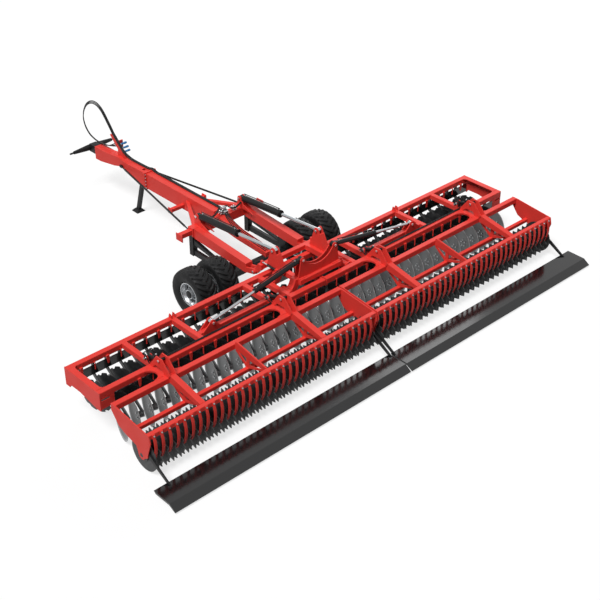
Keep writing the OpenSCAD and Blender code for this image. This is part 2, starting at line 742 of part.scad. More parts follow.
module main_beams() color(red) {
    for (side = [-1, 1]) on_side(side) {
        x0 = main_beam_x - main_beam_w / 2;
        x1 = main_beam_x + main_beam_w / 2;
        plate_yz(x0, x1) polygon([[main_end, main_low[0]], [cross_rear, main_low[1]],
            [cross_rear, main_top[1]], [main_end, main_top[0]]]);
        for (x = [x0, x1 - 35]) plate_yz(x, x + 35) {
            translate([tilt_y, tilt_z]) circle(50);
            polygon([[tilt_y, tilt_z - 50], [main_end + 5, main_low[0] + 10], [main_end + 5, tilt_z],
                [tilt_y, tilt_z + 50]]);
        }
        rod_x(tilt_pin_r, x0 - 12, x1 + 12, tilt_y, tilt_z);
    }
    plate_yz(-spine_w / 2, spine_w / 2) polygon([[520, 780], [1300, 850], [cross_rear, 965], [cross_rear, 770],
        [1300, 720], [520, 690]]);
}

// Fork that holds the base of a lift cylinder, with a long foot back along the main beam.
fork_tail = lift_base[0] - 368;
module lift_fork() {
    for (x = tower_plates)
        plate_yz(x, x + fork_t) {
            translate(lift_base) circle(50);
            polygon([[cross_front - 2, cross_z[1] - 2], [lift_base[0] + 48, lift_base[1] + 14],
                [lift_base[0] - 48, lift_base[1] + 14], [lift_base[0] - 62, lift_base[1] - 40],
                [lift_base[0] - 105, lift_base[1] - 93], [fork_tail, main_over(fork_tail) + seat],
                [cross_rear, main_top[1] + seat], [cross_rear + 2, cross_z[1] - 2]]);
        }
    rod_x(base_pin_r, tower_plates[0] - 12, tower_plates[1] + fork_t + 12, lift_base[0], lift_base[1]);
}

module chassis_cross() color(red) {
    span([-cross_half, cross_rear, cross_z[0]], [cross_half, cross_front, cross_z[1]]);
    for (side = [-1, 1]) on_side(side) lift_fork();
}

rest_x = 943;
rest_top = 935;
module wing_rests() color(red) for (side = [-1, 1]) on_side(side) {
    span([cross_half, cross_rear + 20, 850], [rest_x, cross_front - 20, rest_top]);
    span([rest_x, cross_rear - 20, 800], [rest_x + 16, cross_front + 20, rest_top]);
    span([drawbar_w / 2, 2790, 780], [394, 2870, 840]);
    span([394, 2770, 750], [410, 2890, 860]);
    translate([0, 0, 890]) linear_extrude(60)
        polygon([[drawbar_w / 2, 2740], [drawbar_w / 2, 2620], [500, cross_front], [600, cross_front]]);
}

neck_w = 190;
flange_t = 40;
sleeve_w = leg_w + 24;
sleeve_low = 290;
head_y = hitch_y - 221;
// Distance forward along the neck: 0 at the flange, 1 at the hitch head.
function along(t) = flange_y + flange_t + t * (head_y - flange_y - flange_t);
leg_top = [along(0.0894), 1000];

// Frame of the parking leg: its top on the neck, and local -Z down along the leg.
module leg_place() translate([0, leg_top[0], leg_top[1]]) rotate([leg_lean, 0, 0]) children();

module drawbar() color(red) difference() {
    union() {
        plate_yz(-drawbar_w / 2, drawbar_w / 2)
            polygon([[cross_front, 1040], [flange_y, 1040], [flange_y, 725], [cross_front, 725]]);
        plate_yz(-drawbar_w / 2 - 40, drawbar_w / 2 + 40)
            polygon([[flange_y, 1062], [flange_y + flange_t, 1062], [flange_y + flange_t, 702],
                [flange_y, 702]]);
        plate_yz(-neck_w / 2, neck_w / 2)
            polygon([[along(0), 1035], neck_low, post_foot, [along(0.745), 1010], [head_y, 1005],
                [head_y, 735], [along(0.888), 742], [along(0.61), 821], [along(0.489), 879],
                [along(0.343), 845], [along(0.141), 756], [along(0), 731]]);
        leg_place() span([-sleeve_w / 2, -sleeve_w / 2, -sleeve_low], [sleeve_w / 2, sleeve_w / 2, -60]);
    }
    leg_place() span([-leg_w / 2 - seat, -leg_w / 2 - seat, -600], [leg_w / 2 + seat, leg_w / 2 + seat, 200]);
}

foot_half = 95;
foot_h = 60;
leg_len = leg_top[1] / cos(leg_lean);
module jack_leg() color(steel) {
    difference() {
        leg_place() span([-leg_w / 2, -leg_w / 2, -leg_len], [leg_w / 2, leg_w / 2, -180]);
        translate([0, leg_top[0], -500]) cube([1000, 2000, 1000], center = true);
    }
    foot_y = leg_top[0] + leg_top[1] * tan(leg_lean);
    translate([0, foot_y, 0]) intersection() {
        plate_yz(-foot_half, foot_half)
            polygon([[-foot_half, 0], [foot_half, 0], [foot_half, 10], [48, foot_h], [-72, foot_h],
                [-foot_half, 10]]);
        plate_xz(-foot_half, foot_half)
            polygon([[-foot_half, 0], [foot_half, 0], [foot_half, 10], [48, foot_h], [-48, foot_h],
                [-foot_half, 10]]);
    }
}

module hitch_bar() color(black) {
    span([-80, head_y, hitch_z - 80], [80, hitch_y, hitch_z + 80]);
    rod_x(link_r, -110, 110, hitch_y, hitch_z);
    for (side = [-1, 1]) on_side(side) translate([110, hitch_y, hitch_z]) rotate([0, 90, 0]) {
        cylinder(r1 = link_r, r2 = 32, h = link_half - link_pin_len - 110);
        cylinder(r = link_pin_r, h = link_half - 110);
    }
}

neck_low = [along(0.378), 1019];
post_foot = [along(0.5188), 1060];
post_top = post_foot + [280, 360];
post_w = 60;
coupler_y = post_foot[0] + 114.5;
// Point on the neck's rising top edge, from its low end (0) to the foot of the post (1).
function neck_at(t) = neck_low * (1 - t) + post_foot * t;
module hose_post() color(red) {
    plate_yz(-post_w / 2, post_w / 2) polygon([neck_at(0.45), post_foot,
        post_foot + [100, -8], post_foot + [78, 120], post_top + [40, 0],
        post_top + [-30, 25], post_foot + [-50, 110]]);
    span([post_w / 2, coupler_y, 1150], [post_w / 2 + 95, coupler_y + 20, 1330]);
}

module valve_block() color("silver") span([20, cross_rear + 25, cross_z[1]],
    [115, cross_front - 15, cross_z[1] + 95]);

// Hoses: a fixed run along the drawbar, and a free loop from the post to the coupler plate

hose_r = 10;
hose_pitch = 21;
hose_sides = 8;
loop_rings = 26;
run_rings = 30;
// Route of the middle hose along the drawbar and up the post, as points along X, Y and Z.
run_route = [[72, 1905, 1054], [72, 2200, 1054], [72, 2900, 1054], [72, 3600, 1054], [72, 3850, 1054],
    [72, 3940, 1077], [72, 4020, 1077], [72, 4120, 1051], [72, 4350, 1042], [72, 4540, 1040], [55, 4640, 1060],
    [25, 4715, 1110], [0, 4785, 1168], [0, 4880, 1244], [0, 5110, 1455]];
// Route of the middle hose's loop; its last points differ from hose to hose.
loop_route = [[0, 5112.4, 1457.2], [0, 5250, 1630], [0, 5420, 1820], [0, 5550, 1900], [0, 5690, 1920],
    [0, 5840, 1880],
    [0, 5990, 1770], [0, 6100, 1600], [10, 6150, 1420], [20, 6110, 1250], [30, 5990, 1120], [40, 5800, 1055],
    [50, 5600, 1050], [60, 5400, 1075]];
loop_spread = 0.03;
function loop_of(k) = concat([for (p = loop_route) [p[0] + hose_pitch * k,
        loop_route[0][1] + (p[1] - loop_route[0][1]) * (1 + loop_spread * k),
        loop_route[0][2] + (p[2] - loop_route[0][2]) * (1 + loop_spread * k)]],
    [[70 + 24 * k, 5200, 1150 - 30 * k], [78 + 28 * k, 5080, 1225 - 50 * k],
        [78 + 28 * k, 5006, 1235 - 55 * k]]);

// Point at place u on the smooth curve through a list of points.
function spot(p, u) = let (i = min(floor(u), len(p) - 2), t = u - i, a = p[max(i - 1, 0)], b = p[i],
    c = p[i + 1],
    d = p[min(i + 2, len(p) - 1)])
    (2 * b + (c - a) * t + (2 * a - 5 * b + 4 * c - d) * t * t + (3 * b - a - 3 * c + d) * t * t * t) / 2;
function curve(p, n) = [for (k = [0 : n - 1]) spot(p, (len(p) - 1) * k / (n - 1))];

// Round tube along a path, with a ring of points square to the path at each step.
module tube(path, r) {
    n = len(path);
    rings = [for (k = [0 : n - 1]) let (v = path[min(k + 1, n - 1)] - path[max(k - 1, 0)], f = v / norm(v),
        c = cross(f, [1, 0, 0]), up = c / norm(c), out = cross(up, f))
        [for (j = [0 : hose_sides - 1]) let (a = j * 360 / hose_sides)
            path[k] + r * (cos(a) * out + sin(a) * up)]];
    sides = [for (k = [0 : n - 2], j = [0 : hose_sides - 1]) let (a = k * hose_sides, b = (j + 1) % hose_sides)
        [[a + j, a + b, a + hose_sides + j], [a + b, a + hose_sides + b, a + hose_sides + j]]];
    last = (n - 1) * hose_sides;
    polyhedron([for (ring = rings, p = ring) p], concat([for (pair = sides, face = pair) face],
        [[for (j = [hose_sides - 1 : -1 : 0]) j], [for (j = [0 : hose_sides - 1]) last + j]]));
}

module hose_run() color(rubber) for (k = [-1, 0, 1])
    tube(curve([for (p = run_route) p + [hose_pitch * k, 0, 0]], run_rings), hose_r);

module hose_loop(k) color(rubber) tube(curve(loop_of(k), loop_rings), hose_r);

// Axle under the main beams

axle_half = 755;
spindle_end = wheel_in_x + twin_gap + 120;
axle_size = 120;
axle_front = axle_y + axle_size / 2;
axle_over = tyre_r + axle_size / 2;
module axle() color(black) {
    span([-axle_half, axle_y - axle_size / 2, tyre_r - axle_size / 2], [axle_half, axle_front, axle_over]);
    for (side = [-1, 1]) on_side(side) rod_x(spindle_r, axle_half - 5, spindle_end, axle_y, tyre_r);
}

// Hangers from the axle up to the main beams.
module axle_hangers() color(black) for (side = [-1, 1]) on_side(side)
    plate_yz(main_beam_x - 60, main_beam_x + 20) polygon([[axle_y - 60, axle_over], [axle_y + 40, axle_over],
        [axle_y + 110, main_under(axle_y + 110)], [axle_y - 110, main_under(axle_y - 110)]]);

// Posts under the cross member, with a level arm and a brace back to the axle.
post_y = [cross_rear + 20, cross_rear + 125];
arm_x = [main_beam_x + 25, main_beam_x + 85];
module axle_posts() color(black) for (side = [-1, 1]) on_side(side)
    span([main_beam_x, post_y[0], tyre_r - 50], [main_beam_x + 100, post_y[1], cross_z[0]]);

module axle_arms() color(black) for (side = [-1, 1]) on_side(side) {
    plate_yz(arm_x[0], arm_x[1]) polygon([[post_y[0], tyre_r - 40], [post_y[0], tyre_r + 70],
        [axle_front, tyre_r + 50], [axle_front, tyre_r - 40]]);
    plate_yz(arm_x[0], arm_x[1]) polygon([[post_y[0], tyre_r + 290], [post_y[0], tyre_r + 190],
        [axle_y + 50, axle_over], [axle_y - 10, axle_over]]);
}

module stays() color(black) for (side = [-1, 1]) on_side(side) {
    front = [neck_w / 2 + 16, along(0.4532), 905];
    rear = [cross_half - 28, cross_front + 18, 880];
    rod_between(front, rear, 13);
    span([neck_w / 2, front[1] - 40, front[2] - 24], [neck_w / 2 + 34, front[1] + 40, front[2] + 24]);
    span([rear[0] - 26, cross_front, rear[2] - 26], [rear[0] + 26, cross_front + 36, rear[2] + 26]);
}

// Wheels

// Half section of a tyre as distance from the axle and from its middle plane.
tread_half = tyre_w * 0.44;
bead_half = tyre_w * 0.36;
tyre_section = [[rim_r, -bead_half], [rim_r + 30, -tyre_w * 0.44], [(tyre_r + rim_r) / 2, -tyre_w / 2],
    [tyre_r - 70, -tyre_w * 0.49], [tyre_r - 24, -tread_half], [tyre_r, -tread_half * 0.6],
    [tyre_r, tread_half * 0.6], [tyre_r - 24, tread_half], [tyre_r - 70, tyre_w * 0.49],
    [(tyre_r + rim_r) / 2, tyre_w / 2], [rim_r + 30, tyre_w * 0.44], [rim_r, bead_half]];

module tyres(side) color(rubber) on_side(side)
    for (x = [wheel_in_x, wheel_in_x + twin_gap])
        translate([x, axle_y, tyre_r]) rotate([0, 90, 0]) rotate_extrude() polygon(tyre_section);

// Half section of a rim: well, flanges and wheel disc.
rim_t = 12;
hub_out_r = spindle_r + 30;
module rim_body() rotate([0, 90, 0]) rotate_extrude() polygon([
    [hub_out_r - 4, -20], [rim_r - 60, 0], [rim_r - 40, -bead_half + 60], [rim_r - rim_t - 6, -bead_half + 12],
    [rim_r - rim_t - 6, -bead_half - 8], [rim_r, -bead_half - 8], [rim_r, bead_half + 8],
    [rim_r - rim_t - 6, bead_half + 8], [rim_r - rim_t - 6, bead_half - 12], [rim_r - 40, bead_half - 60],
    [rim_r - 60 + rim_t, rim_t], [hub_out_r - 4, -20 + rim_t]]);

module rims(side) color(chrome) on_side(side) difference() {
    union() {
        for (x = [wheel_in_x, wheel_in_x + twin_gap]) translate([x, axle_y, tyre_r]) rim_body();
        rod_x(hub_out_r, axle_half + play, spindle_end + 15, axle_y, tyre_r);
    }
    rod_x(spindle_r + fit, axle_half, spindle_end + 1, axle_y, tyre_r);
}

placed() drawbar();
placed() hitch_bar();
placed() hose_post();
placed() main_beams();
placed() chassis_cross();
placed() wing_rests();
placed() axle();
placed() axle_hangers();
placed() axle_posts();
placed() axle_arms();
placed() stays();
placed() valve_block();
placed() jack_leg();
placed() hose_run();
placed() hose_loop(-1);  // hose_loop_1
placed() hose_loop(0);  // hose_loop_2
placed() hose_loop(1);  // hose_loop_3
placed() tyres(-1);  // tyres_left
placed() tyres(1);  // tyres_right
placed() rims(-1);  // rims_left
placed() rims(1);  // rims_right
placed() carrier();
placed() lift_barrel(-1);  // lift_barrel_left
placed() lift_barrel(1);  // lift_barrel_right
placed() lift_rod(-1);  // lift_rod_left
placed() lift_rod(1);  // lift_rod_right
placed() fold_barrel(-1);  // fold_barrel_left
placed() fold_barrel(1);  // fold_barrel_right
placed() fold_rod(-1);  // fold_rod_left
placed() fold_rod(1);  // fold_rod_right
placed() wing_beams(-1);  // wing_beams_left
placed() wing_beams(1);  // wing_beams_right
placed() wing_crossbars(-1);  // wing_crossbars_left
placed() wing_crossbars(1);  // wing_crossbars_right
placed() fold_beams(-1);  // fold_beams_left
placed() fold_beams(1);  // fold_beams_right
placed() wing_towers(-1);  // wing_towers_left
placed() wing_towers(1);  // wing_towers_right
placed() board_brackets(-1);  // board_brackets_left
placed() board_brackets(1);  // board_brackets_right
placed() depth_cylinders(-1);  // depth_cylinders_left
placed() depth_cylinders(1);  // depth_cylinders_right
placed() soil_boards(-1);  // soil_boards_left
placed() soil_boards(1);  // soil_boards_right
placed() front_discs(-1);  // front_discs_left
placed() front_discs(1);  // front_discs_right
placed() rear_discs(-1);  // rear_discs_left
placed() rear_discs(1);  // rear_discs_right
placed() packer(-1);  // packer_left
placed() packer(1);  // packer_right
placed() scraper_beams(-1);  // scraper_beams_left
placed() scraper_beams(1);  // scraper_beams_right
placed() scraper_bars(-1);  // scraper_bars_left
placed() scraper_bars(1);  // scraper_bars_right
placed() drag_board(-1);  // drag_board_left
placed() drag_board(1);  // drag_board_right
placed() board_arms(-1);  // board_arms_left
placed() board_arms(1);  // board_arms_right
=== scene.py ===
# %% [markdown]
# # A folding disc harrow, dressed for its picture
# The solids of the machine are made elsewhere and loaded here as a fixed frame. This script gives them
# paint, rubber and steel, adds hoses, bolts, tread and fittings, and sets up light and camera.

import json
import math

import bpy
import numpy as np
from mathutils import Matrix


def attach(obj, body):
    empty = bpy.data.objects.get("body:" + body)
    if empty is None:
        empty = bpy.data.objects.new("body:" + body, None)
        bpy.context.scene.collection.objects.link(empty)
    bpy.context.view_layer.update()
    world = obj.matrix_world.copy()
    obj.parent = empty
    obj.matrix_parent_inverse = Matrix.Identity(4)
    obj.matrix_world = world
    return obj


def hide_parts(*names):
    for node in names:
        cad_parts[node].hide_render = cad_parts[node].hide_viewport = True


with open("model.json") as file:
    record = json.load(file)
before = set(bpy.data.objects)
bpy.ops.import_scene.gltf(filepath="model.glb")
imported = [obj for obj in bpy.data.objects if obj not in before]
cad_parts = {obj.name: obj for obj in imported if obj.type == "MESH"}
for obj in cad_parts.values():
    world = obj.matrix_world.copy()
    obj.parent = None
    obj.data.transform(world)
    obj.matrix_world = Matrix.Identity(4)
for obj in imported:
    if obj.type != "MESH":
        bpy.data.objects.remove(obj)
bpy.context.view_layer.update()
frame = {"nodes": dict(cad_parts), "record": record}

# %% [markdown]
# ## Units
# The machine was drawn in millimetres, with Y counted forward from the front beam of the wings. One
# function turns such points into metres in the shared frame, so that every size below can be a plain
# millimetre.

# %% From millimetres to the shared frame
MM = 0.001
Y_MID = 1521.5
SIDES = {"left": -1.0, "right": 1.0}
BOTH = tuple(SIDES.values())


def place(points):
    """Drawing millimetres to metres: Y less the drawing's middle, then everything divided by 1000."""
    return (np.asarray(points, float) - [0.0, Y_MID, 0.0]) * MM


print("front beam lies at y =", place([0.0, 0.0, 0.0])[1])

# %% [markdown]
# ## Camera
# The photograph was taken from behind the left wing and from above. Matching pairs of points on the two
# wings gave the lens and the place, so the camera is written here as found and is not tuned by eye.

# %% The photograph's camera
CAMERA_SPOT = [-11825.0, -12984.0, 11521.0]
CAMERA_TILT, CAMERA_TURN = 56.752, -42.913

camera_data = bpy.data.cameras.new("photo_camera")
camera_data.sensor_width = 36.0
camera_data.lens = 71.48
camera_data.clip_end = 200.0
camera = bpy.data.objects.new("photo_camera", camera_data)
camera.location = place(CAMERA_SPOT)
camera.rotation_euler = (math.radians(CAMERA_TILT), 0.0, math.radians(CAMERA_TURN))
bpy.context.scene.collection.objects.link(camera)
bpy.context.scene.camera = camera
print("camera at", tuple(round(v, 3) for v in camera.location))

# %% [markdown]
# ## Colours and shader nodes
# A colour picked from a picture is an sRGB hex value, while Blender mixes light in linear values, so one
# function converts. A second one adds a shader node with its settings and links, which keeps each material
# to a few lines.

# %% Helpers for materials


def linear(hex_code):
    """sRGB hex to linear RGBA: c / 12.92 below 0.04045, else ((c + 0.055) / 1.055) ^ 2.4."""
    c = np.array([int(hex_code[i:i + 2], 16) for i in (1, 3, 5)]) / 255.0
    lin = np.where(c <= 0.04045, c / 12.92, ((c + 0.055) / 1.055) ** 2.4)
    return (*lin.tolist(), 1.0)


def add_node(mat, kind, settings=None, links=None):
    """Adds one shader node: settings by socket (name or number) or property, links as socket to an output."""
    node = mat.node_tree.nodes.new(kind)
    for name, value in (settings or {}).items():
        if isinstance(name, int) or name in node.inputs:
            node.inputs[name].default_value = value
        else:
            setattr(node, name, value)
    for name, output in (links or {}).items():
        mat.node_tree.links.new(output, node.inputs[name])
    return node


print("white is", linear("#FFFFFF"))

# %% [markdown]
# ## One recipe for all finishes
# No paint or steel is one flat colour. Two close tones are mixed by a cloudy noise, and the same noise
# makes the gloss uneven. A second, finer noise can raise the surface a little. Both noises get their scale
# from a size in millimetres.

# %% A surface of two tones


def surface(name, tones, grain_mm, rough, metallic=0.0, shine=0.5, bump_mm=0.0, fine_mm=12.0):
    """Mixes two tones by noise of a grain in millimetres, which also moves the roughness between two values.

    The noise lies mostly between 0.3 and 0.7. A noise of fine_mm raises the surface by bump_mm. Both read
    Object coordinates.
    """
    mat = bpy.data.materials.new(name)
    mat.use_nodes = True
    shader = mat.node_tree.nodes["Principled BSDF"]
    shader.inputs["Metallic"].default_value = metallic
    shader.inputs["Specular IOR Level"].default_value = shine
    link = mat.node_tree.links.new
    where = add_node(mat, "ShaderNodeTexCoord").outputs["Object"]
    cloud = add_node(mat, "ShaderNodeTexNoise", {"Scale": 1.0 / (grain_mm * MM), "Detail": 4.0},
        {"Vector": where})
    tone = add_node(mat, "ShaderNodeMix", {"data_type": "RGBA", "A": linear(tones[0]), "B": linear(tones[1])},
        {"Factor": cloud.outputs["Fac"]})
    link(tone.outputs["Result"], shader.inputs["Base Color"])
    gloss = add_node(mat, "ShaderNodeMapRange",
        {"From Min": 0.3, "From Max": 0.7, "To Min": rough[0], "To Max": rough[1]},
        {"Value": cloud.outputs["Fac"]})
    link(gloss.outputs["Result"], shader.inputs["Roughness"])
    if bump_mm:
        fine = add_node(mat, "ShaderNodeTexNoise", {"Scale": 1.0 / (fine_mm * MM), "Detail": 2.0},
            {"Vector": where})
        bump = add_node(mat, "ShaderNodeBump", {"Strength": 0.6, "Distance": bump_mm * MM},
            {"Height": fine.outputs["Fac"]})
        link(bump.outputs["Normal"], shader.inputs["Normal"])
    return mat


print("a grain of 60 mm is a noise scale of", round(1.0 / (60.0 * MM), 1))

# %% [markdown]
# ## The machine's finishes
# Red and black are sprayed two-pack paint over steel: smooth, with a faint orange peel. Discs are tempered
# steel, grey from the furnace and ground at the edge, where a paler band is painted highlight. The packer is
# painted cast iron, the rods are hard chrome, and bolts are zinc plated.

# %% Materials by slot
# Real orange peel is about 5 mm from crest to crest, too fine for the picture, so it is drawn at 30 mm.
PEEL_MM = 30.0
finishes = {
    # sprayed and satin: the colour stays full on the shaded faces, with little white in it
    "red_paint": surface("red_two_pack_paint", ("#E5423A", "#DC3C34"), 420.0, (0.42, 0.52),
        shine=0.18, bump_mm=0.15, fine_mm=PEEL_MM),
    # the same paint in black, which shows its shape only by a soft sheen
    "black_paint": surface("black_two_pack_paint", ("#131314", "#1A1A1B"), 300.0, (0.38, 0.5),
        shine=0.2, bump_mm=0.15, fine_mm=PEEL_MM),
    # smooth powder coat on rolled plate, which mirrors what stands above it
    "black_plate": surface("black_powder_coated_plate", ("#101011", "#161617"), 260.0, (0.1, 0.14),
        shine=0.52),
    # lacquer with metal flakes, bright and a little cloudy
    "silver_paint": surface("silver_rim_lacquer", ("#B4B7BA", "#C6C8CA"), 120.0, (0.24, 0.36),
        metallic=0.75, bump_mm=0.05),
    # grey from the tempering furnace, with a soft sheen round the dish
    "disc_steel": surface("tempered_disc_steel", ("#565859", "#727475"), 60.0, (0.34, 0.46),
        metallic=0.12, bump_mm=0.1),
    # sand-cast skin under thin paint, rough enough to break up every highlight
    "packer_iron": surface("painted_cast_iron", ("#1E1E1F", "#343536"), 40.0, (0.4, 0.6),
        metallic=0.1, bump_mm=0.5, fine_mm=9.0),
    # ground and plated, so it mirrors the white room in long streaks
    "chrome": surface("hard_chrome", ("#A4A8AB", "#B6B9BC"), 80.0, (0.1, 0.18), metallic=1.0),
    # pale and slightly dull, so that each bolt is a bright speck
    "plated_steel": surface("zinc_plated_steel", ("#BFC2C4", "#D2D4D5"), 15.0, (0.25, 0.4),
        metallic=0.85, bump_mm=0.05),
    # moulded rubber, dull and nearly black
    "tyre_rubber": surface("tyre_rubber", ("#0E0E0F", "#161617"), 90.0, (0.5, 0.66),
        shine=0.22, bump_mm=0.4, fine_mm=14.0),
    # extruded rubber cover, smoother than a tyre, with a thin line of light along the hose
    "hose_rubber": surface("hose_rubber", ("#0C0C0D", "#131314"), 25.0, (0.42, 0.55),
        shine=0.25, bump_mm=0.2, fine_mm=6.0),
}
print("finishes:", sorted(finishes))

# %% [markdown]
# ## Paint the solids
# The record names a material slot for each node, so one loop hands the finishes out. The front discs get
# a nearly black steel, which is painted shade for the shadow they lie in inside the frame.

# %% Materials for the nodes
slots = {s["node"]: s["material_slot"] for s in frame["record"]["subparts"]}
for name, obj in frame["nodes"].items():
    obj.data.materials.clear()
    obj.data.materials.append(finishes[slots[name]])
# tempered steel drawn nearly black as painted shade, with a grey glint where it turns to the light
shade_dark_disc_steel = surface("painted_shade_disc_steel", ("#1B1C1D", "#2C2E2F"), 60.0, (0.32, 0.5),
    metallic=0.3, bump_mm=0.1)
for side in SIDES:
    frame["nodes"]["front_discs_" + side].data.materials[0] = shade_dark_disc_steel
print("painted nodes:", len(slots))

# %% [markdown]
# ## Shapes from arrays
# Every added piece is a skin over rings of points. A tube carries a ring along a path, a turned piece
# carries rings of several radii along an axis, and copies are made by adding offsets to all points at
# once. A shape here is its points and a list of face arrays, so that whole arrays are joined and no loop
# walks over vertices.

# %% Skins, tubes and turned pieces


def skin(rings, closed=False):
    """Quads between neighbouring rings of an array (n, m, 3); each end gets a face, or the rings close."""
    n, m = rings.shape[:2]
    rows = n if closed else n - 1
    i, j = np.meshgrid(np.arange(rows), np.arange(m), indexing="ij")
    nxt, k = (i + 1) % n, (j + 1) % m
    faces = [np.stack([i * m + j, i * m + k, nxt * m + k, nxt * m + j], -1).reshape(-1, 4)]
    if not closed:
        faces.append(np.stack([np.arange(m)[::-1], np.arange(m) + (n - 1) * m]))
    return rings.reshape(-1, 3), faces


def ring_points(centres, directions, radii, sides):
    """At each centre c with direction t: c + r (u cos a + v sin a), u and v square to t, and u x v = t."""
    ref = np.eye(3)[np.abs(directions).mean(0).argmin()]
    u = np.cross(ref, directions)
    u /= np.linalg.norm(u, axis=1, keepdims=True)
    v = np.cross(directions, u)
    a = np.linspace(0.0, 2.0 * np.pi, sides, endpoint=False)[None, :, None]
    spokes = np.cos(a) * u[:, None] + np.sin(a) * v[:, None]
    return centres[:, None] + np.asarray(radii)[:, None, None] * spokes


def tube(path, radius, sides):
    """Round tube of one radius along a path of points; each ring stands square to the path's slope."""
    path = np.asarray(path, float)
    slope = np.gradient(path, axis=0)
    slope /= np.linalg.norm(slope, axis=1, keepdims=True)
    return skin(ring_points(path, slope, np.full(len(path), radius), sides))


def turned(start, axis, profile, sides):
    """Turned piece: for each (d, r) of the profile, a ring of radius r at distance d along the axis."""
    profile = np.asarray(profile, float)
    axis = np.asarray(axis, float) / np.linalg.norm(axis)
    centres = np.asarray(start, float) + profile[:, :1] * axis
    return skin(ring_points(centres, np.tile(axis, (len(profile), 1)), profile[:, 1], sides))


def hoop(start, axis, profile, sides):
    """Ring turned from a closed outline of (d, r) points, clockwise in d and r; it closes both ways round."""
    points = turned(start, axis, profile, sides)[0].reshape(len(profile), sides, 3)
    return skin(points.transpose(1, 0, 2)[:, ::-1], closed=True)


def plate(x_from, x_to, outline):
    """Flat plate square to X: one outline of (y, z) points, anticlockwise seen from +X, carried along X."""
    yz = np.asarray(outline, float)
    return skin(np.stack([np.column_stack([np.full(len(yz), x), yz]) for x in (x_from, x_to)]))


print("a six-sided nut has", len(turned([0, 0, 0], [1, 0, 0], [[0, 1], [1, 1]], 6)[0]), "points")

# %% Copies, joins and smooth paths
X_AXIS, Y_AXIS, Z_AXIS = np.eye(3)
ORIGIN = np.zeros(3)


def repeat(shape, offsets):
    """Copies of a shape, one for each offset: points by broadcasting, face numbers stepped by point count."""
    points, faces = shape
    offsets = np.asarray(offsets, float).reshape(-1, 1, 3)
    steps = (np.arange(len(offsets)) * len(points))[:, None, None]
    return (points + offsets).reshape(-1, 3), [(f + steps).reshape(-1, f.shape[1]) for f in faces]


def joined(*shapes):
    """Several shapes as one: points stacked, and each shape's faces moved on by the points before it."""
    steps = np.cumsum([0] + [len(points) for points, _ in shapes])
    faces = [f + step for (_, own), step in zip(shapes, steps) for f in own]
    return np.concatenate([points for points, _ in shapes]), faces


def smooth_path(points, count):
    """Smooth curve through points: (2b + (c-a)t + (2a-5b+4c-d)tt + (3b-a-3c+d)ttt) / 2 between b and c."""
    p = np.asarray(points, float)
    u = np.linspace(0.0, len(p) - 1.0, count)
    i = np.minimum(u.astype(int), len(p) - 2)
    t = (u - i)[:, None]
    a, b, c, d = p[np.maximum(i - 1, 0)], p[i], p[i + 1], p[np.minimum(i + 2, len(p) - 1)]
    return (2 * b + (c - a) * t + (2 * a - 5 * b + 4 * c - d) * t ** 2 + (3 * b - a - 3 * c + d) * t ** 3) / 2


print("axes:", X_AXIS, Y_AXIS, Z_AXIS)

# %% [markdown]
# ## From a shape to a piece
# A piece on the machine is a mesh with a finish that rides on one body, so that it moves with that body's
# joint. Faces are shaded smooth, and edges sharper than 35 degrees stay crisp.

# %% Add a piece
SHARP = math.radians(35.0)


def add_piece(name, shape, finish, body):
    """Puts a shape in drawing millimetres into the scene in metres, with its finish, riding on a body."""
    points, faces = shape
    mesh = bpy.data.meshes.new(name)
    mesh.from_pydata(place(points).tolist(), [], [row for rows in faces for row in rows.tolist()])
    mesh.polygons.foreach_set("use_smooth", np.ones(len(mesh.polygons), bool))
    mesh.set_sharp_from_angle(angle=SHARP)
    obj = bpy.data.objects.new(name, mesh)
    bpy.context.scene.collection.objects.link(obj)
    mesh.materials.append(finishes.get(finish, finish))
    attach(obj, body)
    return obj


# %% [markdown]
# ## Hose loops
# Three hydraulic hoses rise past the post, arch over and come back to the coupler plate: stiff 20 mm hoses
# that carry their own arch. The route's points are the ones of the solid, and the outer hoses open the
# loop a little.

# %% Three free hoses
HOSE_R, HOSE_PITCH, LOOP_SPREAD = 10.0, 21.0, 0.03
LOOP_ROUTE = np.array([[0.0, 5112.4, 1457.2], [0.0, 5250.0, 1630.0], [0.0, 5420.0, 1820.0],
    [0.0, 5550.0, 1900.0], [0.0, 5690.0, 1920.0], [0.0, 5840.0, 1880.0], [0.0, 5990.0, 1770.0],
    [0.0, 6100.0, 1600.0], [10.0, 6150.0, 1420.0], [20.0, 6110.0, 1250.0], [30.0, 5990.0, 1120.0],
    [40.0, 5800.0, 1055.0], [50.0, 5600.0, 1050.0], [60.0, 5400.0, 1075.0]])
LOOP_END = np.array([[70.0, 5200.0, 1150.0], [78.0, 5080.0, 1225.0], [78.0, 5006.0, 1235.0]])
END_STEP = np.array([[24.0, 0.0, -30.0], [28.0, 0.0, -50.0], [28.0, 0.0, -55.0]])


def loop_path(k):
    """Route of hose k (-1, 0 or 1): opened by 3% about its start, then set down at its place on the plate."""
    opened = 1.0 + LOOP_SPREAD * k
    route = LOOP_ROUTE[0] + (LOOP_ROUTE - LOOP_ROUTE[0]) * [1.0, opened, opened]
    route[:, 0] = LOOP_ROUTE[:, 0] + HOSE_PITCH * k
    return smooth_path(np.concatenate([route, LOOP_END + END_STEP * k]), 140)


for number, k in enumerate((-1, 0, 1), start=1):
    hose = add_piece(f"loop_hose_{number}", tube(loop_path(k), HOSE_R, 12), "hose_rubber", "chassis")
    path = place(loop_path(k))
    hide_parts(f"hose_loop_{number}")

# %% [markdown]
# ## Tyres with tread
# The wide tyres have short curved lugs in two rows, set half a pitch apart. A tyre is one grid over two
# angles: round the wheel and round its section. The section is a smooth curve through a few points, and
# grooves lower it between lugs.

